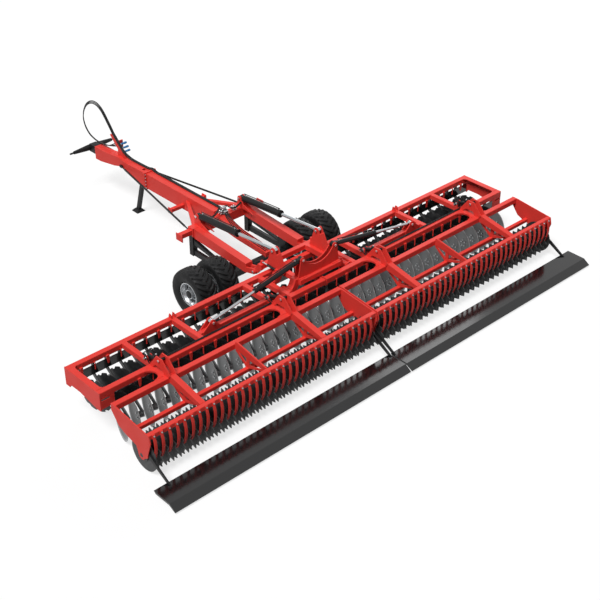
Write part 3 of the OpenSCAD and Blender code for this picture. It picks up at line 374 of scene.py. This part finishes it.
# %% Tyres
TYRE_R, AXLE_Y, WHEEL_X = 450.0, 798.0, (982.0, 1465.0)
HALF_SECTION = np.array([[222.0, -136.0], [250.0, -168.0], [318.0, -190.0], [372.0, -187.0], [418.0, -166.0],
    [441.0, -112.0], [448.0, -40.0]])
TYRE_SECTION = np.concatenate([HALF_SECTION, HALF_SECTION[::-1] * [1.0, -1.0]])
TURN_STEPS, SECTION_STEPS = 352, 64
LUGS, GROOVE_DEPTH, TREAD_HALF, TREAD_FROM_R = 24, 24.0, 178.0, 380.0
LUG_BEND, LUG_CURVE, GROOVE_SHARE, WALL_SHARE = 1.3, 1.8, 0.24, 0.07


def tyre(x_middle):
    """Radius = section(s) - depth * groove, where groove is 1 between curved lugs and 0 past the shoulder.

    The phase of the lugs is turn * LUGS plus a bend that grows with the distance from the middle, half a step
    apart on the two sides; a ramp on the fraction of that phase gives each groove sloping walls.
    """
    section = smooth_path(TYRE_SECTION, SECTION_STEPS)
    turn = np.linspace(0.0, 1.0, TURN_STEPS, endpoint=False)[:, None]
    radius, across = section[None, :, 0], section[None, :, 1]
    share = np.abs(across) / TREAD_HALF
    phase = turn * LUGS + LUG_BEND * share ** LUG_CURVE + 0.5 * (across > 0)
    groove = np.clip((GROOVE_SHARE - np.abs(phase % 1.0 - 0.5)) / WALL_SHARE, 0.0, 1.0)
    off_middle = np.clip((share - 0.04) / 0.06, 0.0, 1.0)
    off_shoulder = np.clip((1.0 - share) / 0.12, 0.0, 1.0)
    r = radius - GROOVE_DEPTH * groove * off_middle * off_shoulder * (radius > TREAD_FROM_R)
    a = 2.0 * np.pi * turn
    rings = np.stack([x_middle + across + 0.0 * r, AXLE_Y + r * np.cos(a), TYRE_R + r * np.sin(a)], -1)
    return skin(rings[:, ::-1], closed=True)


for side, sign in SIDES.items():
    pair = joined(*[tyre(sign * x) for x in WHEEL_X])
    treads = add_piece("tyres_" + side + "_tread", pair, "tyre_rubber", "wheels_" + side)
    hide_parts("tyres_" + side)
print("tyre points each:", TURN_STEPS * SECTION_STEPS)

# %% [markdown]
# ## Wheel nuts and hub caps
# Ten nuts hold each outer wheel on its disc, and a black cap closes the hub. A nut is a turned piece with
# six sides. The nuts sit on a black ring in the middle of the wheel: painted shade for the hollow of the
# dish.

# %% Nuts on the wheels
NUT = [[0.0, 17.0], [16.0, 17.0], [20.0, 13.0], [20.0, 9.0], [30.0, 9.0]]
CAP = [[0.0, 70.0], [10.0, 70.0], [16.0, 60.0], [18.0, 24.0], [22.0, 20.0]]
SHADE_RING_PROFILE = [[0.0, 176.0], [3.0, 176.0], [7.0, 168.0], [7.0, 92.0], [3.0, 84.0], [0.0, 84.0]]
NUT_COUNT, NUT_CIRCLE_R = 10, 122.0
WHEEL_FACE_X, HUB_FACE_X = WHEEL_X[1] + 1.0, 1598.0
turn = np.linspace(0.0, 2.0 * np.pi, NUT_COUNT, endpoint=False)
nut_circle = NUT_CIRCLE_R * np.stack([0.0 * turn, np.cos(turn), np.sin(turn)], -1)
for side, sign in SIDES.items():
    face, hub = [sign * WHEEL_FACE_X, AXLE_Y, TYRE_R], [sign * HUB_FACE_X, AXLE_Y, TYRE_R]
    wheels, outward = "wheels_" + side, sign * X_AXIS
    add_piece("wheel_nuts_" + side, repeat(turned(face, outward, NUT, 6), nut_circle), "plated_steel", wheels)
    # painted shade: a black ring over the wheel's disc stands for the shadow in its hollow
    add_piece("wheel_shade_ring_" + side, hoop(face, outward, SHADE_RING_PROFILE, 40), "black_paint", wheels)
    add_piece("hub_cap_" + side, turned(hub, outward, CAP, 24), "black_paint", wheels)
print("nuts on each outer wheel:", NUT_COUNT)

# %% [markdown]
# ## Ground edges of the rear discs, with a painted highlight
# A disc is ground to an edge on its hollow side. The edge is drawn paler than the rest, as painted highlight
# for the sheen along the rim of the dish. Each edge is a thin turned band that follows the dish and then
# the rim, a little proud of both. The bolts that hold the disc to its hub show in the middle of the hollow.

# %% Shape of a ground edge
DISC_R, DISH, DISC_T, LEAN = 290.0, 48.0, 7.0, math.radians(17.0)
EDGE_FROM_R, EDGE_PROUD, EDGE_SUNK = 258.0, 0.8, 1.0
RIM_PROUD, BACK_PROUD = 0.6, 0.5
BALL = (DISC_R ** 2 + DISH ** 2) / (2.0 * DISH)


def dish_at(r):
    """Depth of the dish at radius r: ball radius less the root of its square less r squared."""
    return BALL - math.sqrt(BALL ** 2 - r ** 2)


edge_start = dish_at(EDGE_FROM_R) + DISC_T
rim_band = [[DISH + DISC_T - EDGE_SUNK, DISC_R - EDGE_SUNK], [DISH - BACK_PROUD, DISC_R - EDGE_SUNK],
    [DISH - BACK_PROUD, DISC_R + RIM_PROUD], [DISH + DISC_T + EDGE_PROUD, DISC_R + RIM_PROUD],
    [edge_start + EDGE_PROUD, EDGE_FROM_R + EDGE_SUNK], [edge_start - EDGE_SUNK, EDGE_FROM_R]]
# ground edge drawn paler than the tempered face as painted highlight for the sheen along the rim, with the
# same dull gloss all round
ground_edge_highlight = surface("ground_disc_edge_painted_highlight", ("#8E9091", "#A8AAAB"), 30.0, (0.35, 0.45), metallic=0.4)
print("dish at the edge's start:", round(dish_at(EDGE_FROM_R), 1), "mm deep")

# %% Bright rims and bolts of the rear discs
DISC_Z, REAR_DISC_Y, DISC_PITCH, DISC_COUNT = 300.0, 1095.0, 248.0, 18
REAR_FIRST = {"left": 115.0, "right": 146.0}
BOLT, BOLT_CIRCLE_R = [[0.0, 15.0], [13.0, 15.0], [16.0, 11.0]], 58.0
hollow = np.array([-math.cos(LEAN), math.sin(LEAN), 0.0])
level = np.array([math.sin(LEAN), math.cos(LEAN), 0.0])
five = np.linspace(0.0, 2.0 * np.pi, 5, endpoint=False)[:, None]
bolt_circle = BOLT_CIRCLE_R * (np.cos(five) * level + np.sin(five) * Z_AXIS)
bolt_foot = hollow * (dish_at(BOLT_CIRCLE_R) + DISC_T - EDGE_SUNK)
for side, sign in SIDES.items():
    places = [[sign * (REAR_FIRST[side] + DISC_PITCH * k), -REAR_DISC_Y, DISC_Z] for k in range(DISC_COUNT)]
    bands = repeat(hoop(ORIGIN, hollow, rim_band, 48), places)
    add_piece("disc_edges_" + side, bands, ground_edge_highlight, "wing_" + side)
    heads = repeat(repeat(turned(bolt_foot, hollow, BOLT, 6), bolt_circle), places)
    add_piece("disc_bolts_" + side, heads, "plated_steel", "wing_" + side)
print("bright discs on each wing:", DISC_COUNT)

# %% [markdown]
# ## Bolts
# Each scraper bar hangs on one plated bolt through the scraper beam, and the drawbar is bolted up at its
# flange. Pale pin ends show at every hinge of the cylinders. All are turned profiles, copied along rows.

# %% Scraper and flange bolts
HEAD = [[0.0, 14.0], [3.0, 14.0], [3.0, 10.5], [13.0, 10.5], [15.0, 8.0]]
SCRAPER_BACK, SCRAPER_BOLT_Z = -2111.0, 744.0
BAR_FIRST, BAR_PITCH, BAR_COUNT = 161.0, 136.0, 33
FLANGE_FACES, FLANGE_X, FLANGE_Z = {-1.0: 3960.0, 1.0: 4000.0}, 121.0, (745.0, 815.0, 885.0, 955.0, 1025.0)
for side, sign in SIDES.items():
    row = [[sign * (BAR_FIRST + BAR_PITCH * k), SCRAPER_BACK, SCRAPER_BOLT_Z] for k in range(BAR_COUNT)]
    bolts = repeat(turned(ORIGIN, -Y_AXIS, HEAD, 6), row)
    add_piece("scraper_bolts_" + side, bolts, "plated_steel", "wing_" + side)
flange_rows = [[sign * FLANGE_X, 0.0, z] for sign in BOTH for z in FLANGE_Z]
flange_bolts = [repeat(turned(y * Y_AXIS, way * Y_AXIS, HEAD, 6), flange_rows)
    for way, y in FLANGE_FACES.items()]
add_piece("flange_bolts", joined(*flange_bolts), "plated_steel", "chassis")
print("scraper bolts on each wing:", BAR_COUNT, "flange bolts:", len(flange_rows))

# %% Pin ends
PIN = [[0.0, 22.0], [8.0, 22.0], [11.0, 18.0]]
FOLD_Y, FOLD_BASE, FOLD_TIP = -680.0, (368.0, 1304.0), (2301.0, 959.0)
LIFT_X, LIFT_BASE, LIFT_TOP = 500.0, (1848.0, 1143.0), (-190.0, 1319.0)
TILT_PIN = (600.0, 180.0, 800.0)
TOWER_X, TOWER_PIN, DEPTH_PIN = (1104.0, 3559.0), (-1080.0, 1062.0), (-735.0, 930.0)


def pin_ends(points, axis):
    """A pair of pin ends for each (centre, half length): one out along the axis, and one against it."""
    spots = {way: [np.array(c) + way * half * axis for c, half in points] for way in BOTH}
    return joined(*[repeat(turned(ORIGIN, way * axis, PIN, 18), spots[way]) for way in BOTH])


def fold_point(sign, xz):
    """Point of a fold cylinder's pin: x to the side it is on, in the upright plane of both cylinders."""
    return [sign * xz[0], FOLD_Y, xz[1]]


def lift_point(sign, yz):
    """Point of a lift cylinder's pin: on its own side, at the cylinder's distance from the middle."""
    return [sign * LIFT_X, *yz]


carrier_fold = pin_ends([(fold_point(s, FOLD_BASE), 65.0) for s in BOTH], Y_AXIS)
add_piece("carrier_pins_fold", carrier_fold, "plated_steel", "carrier")
carrier_lift = pin_ends([(lift_point(s, LIFT_TOP), 67.0) for s in BOTH], X_AXIS)
add_piece("carrier_pins_lift", carrier_lift, "plated_steel", "carrier")
tilt_ends = [(TILT_PIN * np.array([s, 1.0, 1.0]), 87.0) for s in BOTH]
chassis_ends = pin_ends([(lift_point(s, LIFT_BASE), 65.0) for s in BOTH] + tilt_ends, X_AXIS)
add_piece("chassis_pins", chassis_ends, "plated_steel", "chassis")
for side, sign in SIDES.items():
    eye = pin_ends([(fold_point(sign, FOLD_TIP), 67.0)], Y_AXIS)
    tower_ends = [([sign * x, *yz], half) for yz, half in ((TOWER_PIN, 77.0), (DEPTH_PIN, 46.0))
        for x in TOWER_X]
    add_piece("wing_pins_" + side, joined(eye, pin_ends(tower_ends, X_AXIS)), "plated_steel", "wing_" + side)
print("pin ends on each wing:", 2 + 2 * len(tower_ends))

# %% [markdown]
# ## Cylinder ports and pipes
# Oil reaches the rod end of a cylinder through a steel pipe along its barrel. A short fitting stands at
# each port. The pipe rides with its barrel, so it stays right when the cylinder swings.

# %% Pipes on the barrels
PORT = [[0.0, 15.0], [16.0, 15.0], [16.0, 10.0], [30.0, 10.0], [30.0, 13.0], [38.0, 13.0]]
PORT_NEAR, LIFT_PORT_FAR, FOLD_PORT_FAR = 130.0, 1020.0, 990.0
LIFT_BARREL_R, FOLD_BARREL_R, PIPE_R = 64.0, 40.0, 8.0


def barrel_pipe(base, tip, radius, far, up):
    """Pipe from port to port: out of the first port, level with the barrel, and in to the second."""
    base, tip, up = np.array(base), np.array(tip), np.array(up)
    along = (tip - base) / np.linalg.norm(tip - base)
    stations = [(PORT_NEAR, 0.0), (PORT_NEAR, 26.0), (PORT_NEAR + 30.0, 34.0), (far - 30.0, 34.0),
        (far, 26.0), (far, 0.0)]
    route = [base + along * d + up * (radius + h) for d, h in stations]
    ports = [turned(base + along * d + up * (radius - 4.0), up, PORT, 6) for d in (PORT_NEAR, far)]
    return tube(smooth_path(route, 60), PIPE_R, 8), joined(*ports)


for side, sign in SIDES.items():
    runs = {
        "lift": (lift_point(sign, LIFT_BASE), lift_point(sign, LIFT_TOP), LIFT_BARREL_R, LIFT_PORT_FAR,
            [0.0, 0.0862, 0.9963]),
        "fold": (fold_point(sign, FOLD_BASE), fold_point(sign, FOLD_TIP), FOLD_BARREL_R, FOLD_PORT_FAR,
            [sign * 0.1757, 0.0, 0.9844]),
    }
    for kind, run in runs.items():
        pipe, ports = barrel_pipe(*run)
        add_piece(f"{kind}_pipe_{side}", pipe, "black_paint", f"{kind}_barrel_{side}_body")
        add_piece(f"{kind}_ports_{side}", ports, "plated_steel", f"{kind}_barrel_{side}_body")
print("pipes on", len(runs) * len(SIDES), "barrels")

# %% [markdown]
# ## Valve, couplers and fixed lines
# Plated fittings crowd round the valve on the cross member, and lines run from there to the lift cylinders
# and back along the spine. Three blue couplers are parked on the post. The lines are clipped on, so each
# is a tube on one body.

# %% Fittings round the valve
FITTING = np.array([[0.0, 17.0], [18.0, 17.0], [18.0, 12.0], [34.0, 12.0], [34.0, 15.0], [46.0, 15.0],
    [50.0, 10.0]])
TALL_FITTING = FITTING * [1.5, 1.2]
CROSS_TOP, VALVE_TOP, VALVE_SIDE, VALVE_BACK = 970.0, 1064.0, 21.0, 1806.0
PORT_X, PORT_Z = (38.0, 68.0, 98.0), (1000.0, 1040.0)
TOP_Y, SIDE_Y, STAND_X, STAND_Y = (1826.0, 1866.0), (1826.0, 1872.0), (275.0, 325.0), (1815.0, 1865.0)
on_top = [[x, y, VALVE_TOP] for x in PORT_X for y in TOP_Y]
beside = [[VALVE_SIDE, y, z] for y in SIDE_Y for z in PORT_Z]
behind = [[x, VALVE_BACK, z] for x in PORT_X for z in PORT_Z]
stand = [[x, y, CROSS_TOP] for x in STAND_X for y in STAND_Y]
groups = [(Z_AXIS, FITTING, on_top), (-X_AXIS, FITTING, beside), (-Y_AXIS, FITTING, behind),
    (Z_AXIS, TALL_FITTING, stand)]
fittings = joined(*[repeat(turned(ORIGIN, axis, profile, 6), spots) for axis, profile, spots in groups])
add_piece("valve_fittings", fittings, "plated_steel", "chassis")
print("fittings at the valve:", sum(len(spots) for _, _, spots in groups))

# %% Couplers on the post
COUPLER = [[0.0, 16.0], [30.0, 16.0], [30.0, 21.0], [72.0, 21.0], [72.0, 16.0], [86.0, 16.0], [86.0, 23.0],
    [128.0, 23.0], [134.0, 18.0]]
ROOT, ROOT_LONG = [[0.0, 26.0], [18.0, 26.0], [24.0, 20.0]], 22.0
FERRULE, FERRULE_BACK = [[0.0, 15.0], [40.0, 15.0], [40.0, 12.5], [62.0, 12.5]], 2.0
# moulded plastic caps in clear blue, with a soft gloss
coupler_blue = surface("blue_coupler_plastic", ("#1C6FA8", "#2A86C0"), 20.0, (0.3, 0.4))
parked = [[30.0, 4955.0, 1262.0], [30.0, 4895.0, 1202.0], [30.0, 4850.0, 1138.0]]
caps = repeat(turned(ROOT_LONG * X_AXIS, X_AXIS, COUPLER, 18), parked)
add_piece("blue_couplers", caps, coupler_blue, "chassis")
add_piece("coupler_roots", repeat(turned(ORIGIN, X_AXIS, ROOT, 6), parked), "plated_steel", "chassis")
hose_ends = [LOOP_END[-1] + END_STEP[-1] * k - FERRULE_BACK * Y_AXIS for k in (-1, 0, 1)]
ferrules = [turned(end, Y_AXIS, FERRULE, 12) for end in hose_ends]
add_piece("hose_ferrules", joined(*ferrules), "plated_steel", "chassis")
print("couplers:", len(parked), "ferrules:", len(ferrules))

# %% Lines clipped to the chassis
SPINE = np.array([[1806.0, 1020.0], [1740.0, 1000.0], [1640.0, 944.0], [1300.0, 862.0], [900.0, 826.0],
    [560.0, 796.0]])
SPREAD_FROM, SPREAD_TO, SPREAD_LONG = (38.0, 58.0, 78.0, 98.0), (-58.0, -20.0, 18.0, 56.0), 420.0
FEED_SIDE = np.array([60.0, 90.0, 190.0, 320.0, 410.0, 447.0])
FEED_SHIFT = np.array([40.0, 40.0, 20.0, 0.0, 0.0, 0.0])
FEED_Y = np.array([1842.0, 1838.0, 1812.0, 1800.0, 1806.0, 1815.0])
FEED_Z = np.array([1100.0, 1120.0, 1052.0, 1040.0, 1070.0, 1085.0])
FEED_PITCH, LINE_R = 26.0, 9.0
share = np.clip((SPINE[0, 0] - SPINE[:, 0]) / SPREAD_LONG, 0.0, 1.0)
spine_routes = [np.column_stack([a + (b - a) * share, SPINE]) for a, b in zip(SPREAD_FROM, SPREAD_TO)]
feed_routes = [np.column_stack([sign * FEED_SIDE + FEED_SHIFT, FEED_Y - FEED_PITCH * k, FEED_Z])
    for sign in BOTH for k in range(2)]
spine_lines = [tube(smooth_path(route, 60), PIPE_R, 8) for route in spine_routes]
feeds = [tube(smooth_path(route, 50), LINE_R, 8) for route in feed_routes]
add_piece("chassis_lines", joined(*spine_lines, *feeds), "hose_rubber", "chassis")
print("lines on the chassis:", len(spine_lines) + len(feeds))

# %% [markdown]
# ## Lines and depth setters on the wings
# Two hoses lie on the second beam and feed the short cylinders that set the depth at the towers. Round
# each of those sits a knot of black fittings and short hoses, which the photograph shows as a dark cluster
# with bright specks. The inner knot is kept low, because the carrier passes over it when a wing folds.

# %% A knot of fittings
BEAM_TOP, KNOT_Y = 860.0, -819.0
DEPTH_EYE, DEPTH_EYE_HALF, DEPTH_HEAD = (-700.0, 905.0), 60.0, (-905.0, 985.0)
EYE_BODY = [[0.0, 20.0], [10.0, 30.0], [110.0, 30.0], [120.0, 20.0]]
HEAD_BODY = [[0.0, 26.0], [70.0, 26.0], [78.0, 18.0]]
HOSE_SHIFTS = (-52.0, -24.0, 24.0, 52.0)


def depth_knot(x, rise):
    """Fittings on a depth cylinder: two turned bodies, and four short hoses arched by height * rise."""
    bodies = [turned([x - DEPTH_EYE_HALF, *DEPTH_EYE], X_AXIS, EYE_BODY, 14),
        turned([x, *DEPTH_HEAD], [0.0, -0.2, 1.0], HEAD_BODY, 14)]
    hoses = []
    for k, shift in enumerate(HOSE_SHIFTS):
        arch = [[0.0, 1.0, 9.0], [0.5, 29.0, 100.0 + 12.0 * k], [0.3, 99.0, 150.0 + 9.0 * k],
            [0.0, 169.0, 108.0], [-0.4, 129.0, 65.0]]
        route = [[x + shift * (1.0 + out), KNOT_Y + back, BEAM_TOP + max(LINE_R, up * rise)]
            for out, back, up in arch]
        hoses.append(tube(smooth_path(route, 40), LINE_R, 8))
    return joined(*bodies, *hoses)


print("hoses in a knot:", len(HOSE_SHIFTS))

# %% Wing lines
KNOT_RISE = dict(zip(TOWER_X, (0.4, 1.0)))
WING_LINE = {1104.0: -824.0, 1500.0: -822.0, 2500.0: -824.0, 3500.0: -822.0}
WING_LINE_PITCH = 22.0
SPECK = [[-8.0, 14.0], [14.0, 14.0]]
SPECK_PLACES = ((-66.0, *DEPTH_EYE), (60.0, *DEPTH_EYE), (0.0, -918.0, 1064.0))
for side, sign in SIDES.items():
    route = np.array([[sign * x, y, BEAM_TOP + LINE_R] for x, y in WING_LINE.items()])
    lines = [tube(smooth_path(route - WING_LINE_PITCH * k * Y_AXIS, 50), LINE_R, 8) for k in range(2)]
    knots = [depth_knot(sign * x, rise) for x, rise in KNOT_RISE.items()]
    add_piece("wing_lines_" + side, joined(*lines, *knots), "hose_rubber", "wing_" + side)
    specks = [[sign * x + dx, y, z] for x in TOWER_X for dx, y, z in SPECK_PLACES]
    nuts = repeat(turned(ORIGIN, X_AXIS, SPECK, 6), specks)
    add_piece("wing_fittings_" + side, nuts, "plated_steel", "wing_" + side)
print("lines and knots on each wing:", len(lines), len(knots))

# %% [markdown]
# ## Lock cylinders and stays
# A slim cylinder on each side of the tilting carrier works the transport lock. It lies between a lug on
# the front tube and one on the hinge arm, so it moves with the carrier. The long stays of the drawbar are
# tubes with a threaded rod in each end: the solid gives the rod, and a sleeve with drawn-in ends is
# slipped over it here.

# %% Lock cylinders on the carrier
LOCK_X, LOCK_FRONT, LOCK_REAR = 576.0, (55.0, 1012.0), (-300.0, 1002.0)
LOCK_BODY = [[-20.0, 15.0], [-8.0, 20.0], [205.0, 20.0], [208.0, 22.0], [222.0, 22.0], [224.0, 14.0]]
LUG = [[25.0, 974.0], [80.0, 974.0], [80.0, 1034.0], [40.0, 1034.0]]
SHOE = [[-335.0, 966.0], [-270.0, 966.0], [-282.0, 1024.0], [-324.0, 1024.0]]
LUG_HALF, SHOE_FROM = 20.0, 552.0
for side, sign in SIDES.items():
    front, rear = np.array([sign * LOCK_X, *LOCK_FRONT]), np.array([sign * LOCK_X, *LOCK_REAR])
    long = np.linalg.norm(front - rear)
    body = turned(rear, front - rear, LOCK_BODY, 18)
    lock_rod = [[215.0, 10.0], [long - 26.0, 10.0], [long - 24.0, 18.0], [long + 20.0, 18.0]]
    rod = turned(rear, front - rear, lock_rod, 14)
    lug = plate(*sorted((sign * (LOCK_X - LUG_HALF), sign * (LOCK_X + LUG_HALF))), LUG)
    shoe = plate(*sorted((sign * SHOE_FROM, sign * (LOCK_X + LUG_HALF))), SHOE)
    add_piece("lock_body_" + side, body, "black_paint", "carrier")
    add_piece("lock_rod_" + side, rod, "plated_steel", "carrier")
    add_piece("lock_lugs_" + side, joined(lug, shoe), "red_paint", "carrier")
print("lock cylinders:", len(SIDES))

# %% Sleeves of the stays
STAY_FRONT, STAY_REAR = np.array([111.0, 4760.0, 905.0]), np.array([672.0, 1938.0, 880.0])
STAY_R, SLEEVE_R, SLEEVE_FROM, SLEEVE_TAPER = 13.2, 19.0, 150.0, 14.0
stay_long = np.linalg.norm(STAY_FRONT - STAY_REAR)
drawn_in = SLEEVE_FROM + SLEEVE_TAPER
SLEEVE = [[SLEEVE_FROM, STAY_R], [drawn_in, SLEEVE_R], [stay_long - drawn_in, SLEEVE_R],
    [stay_long - SLEEVE_FROM, STAY_R]]
mirrors = [np.array([sign, 1.0, 1.0]) for sign in BOTH]
sleeves = [turned(STAY_REAR * mirror, (STAY_FRONT - STAY_REAR) * mirror, SLEEVE, 16) for mirror in mirrors]
add_piece("stay_sleeves", joined(*sleeves), "black_paint", "chassis")
print("stays are", round(float(stay_long)), "mm long")

# %% [markdown]
# ## Floor and light
# The photograph is a product shot on pure white, lit from above and from the left. A wide sun gives every
# part of the floor the same light, so the floor has no dark corner. The eye and the mirrors see the floor
# and the world as white, while the paint gets only a dim bounce from them, which keeps the shaded sides
# deep in colour.

# %% Floor seen as white
FLOOR_SIZE, FLOOR_Z, FLOOR_LIFT = 160.0, -0.002, 0.73


def seen_directly(mat):
    """Largest of three flags: 1 for rays from the camera, off a mirror or through glass, else 0."""
    ray = add_node(mat, "ShaderNodeLightPath").outputs
    eye = add_node(mat, "ShaderNodeMath", {"operation": "MAXIMUM"},
        {0: ray["Is Camera Ray"], 1: ray["Is Glossy Ray"]})
    every = add_node(mat, "ShaderNodeMath", {"operation": "MAXIMUM"},
        {0: eye.outputs["Value"], 1: ray["Is Transmission Ray"]})
    return every.outputs["Value"]


half = FLOOR_SIZE / 2
corners = [(x, y, FLOOR_Z) for x, y in ((-half, -half), (half, -half), (half, half), (-half, half))]
floor_mesh = bpy.data.meshes.new("pale_floor")
floor_mesh.from_pydata(corners, [], [(0, 1, 2, 3)])
floor = bpy.data.objects.new("pale_floor", floor_mesh)
bpy.context.scene.collection.objects.link(floor)
# matt paint that takes a soft shadow; a lift for the eye alone brings the lit part up to white
floor_paint = surface("pale_studio_floor", ("#8E8E8E", "#919191"), 900.0, (0.85, 0.95), shine=0.0)
lift = add_node(floor_paint, "ShaderNodeMath", {"operation": "MULTIPLY", 1: FLOOR_LIFT},
    {0: seen_directly(floor_paint)})
floor_shader = floor_paint.node_tree.nodes["Principled BSDF"]
floor_shader.inputs["Emission Color"].default_value = linear("#FFFFFF")
floor_paint.node_tree.links.new(lift.outputs["Value"], floor_shader.inputs["Emission Strength"])
floor_mesh.materials.append(floor_paint)
print("floor side in metres:", FLOOR_SIZE)

# %% Lamps and world
LAMP_AIM = np.array([0.0, 0.0, 0.5])


def add_lamp(name, kind, spot, **settings):
    """Lamp of a kind at a spot, turned to the middle of the machine, with its own properties set."""
    data = bpy.data.lights.new(name, kind)
    for key, value in settings.items():
        setattr(data, key, value)
    lamp = bpy.data.objects.new(name, data)
    lamp.location = spot
    aim = LAMP_AIM - np.array(spot)
    tilt = math.acos(-aim[2] / np.linalg.norm(aim))
    lamp.rotation_euler = (tilt, 0.0, math.atan2(aim[1], aim[0]) - math.pi / 2)
    bpy.context.scene.collection.objects.link(lamp)
    return lamp


add_lamp("key", "SUN", (-10.0, -2.5, 18.0), energy=3.1, angle=math.radians(24.0))
add_lamp("fill", "AREA", (12.0, 8.0, 9.0), energy=500.0, size=8.0)

world = bpy.data.worlds.new("white_studio")
bpy.context.scene.world = world
world.use_nodes = True
shade = add_node(world, "ShaderNodeMix",
    {"data_type": "RGBA", "A": linear("#626262"), "B": linear("#FFFFFF")}, {"Factor": seen_directly(world)})
world.node_tree.links.new(shade.outputs["Result"], world.node_tree.nodes["Background"].inputs["Color"])
bpy.context.scene.view_settings.view_transform = "Standard"
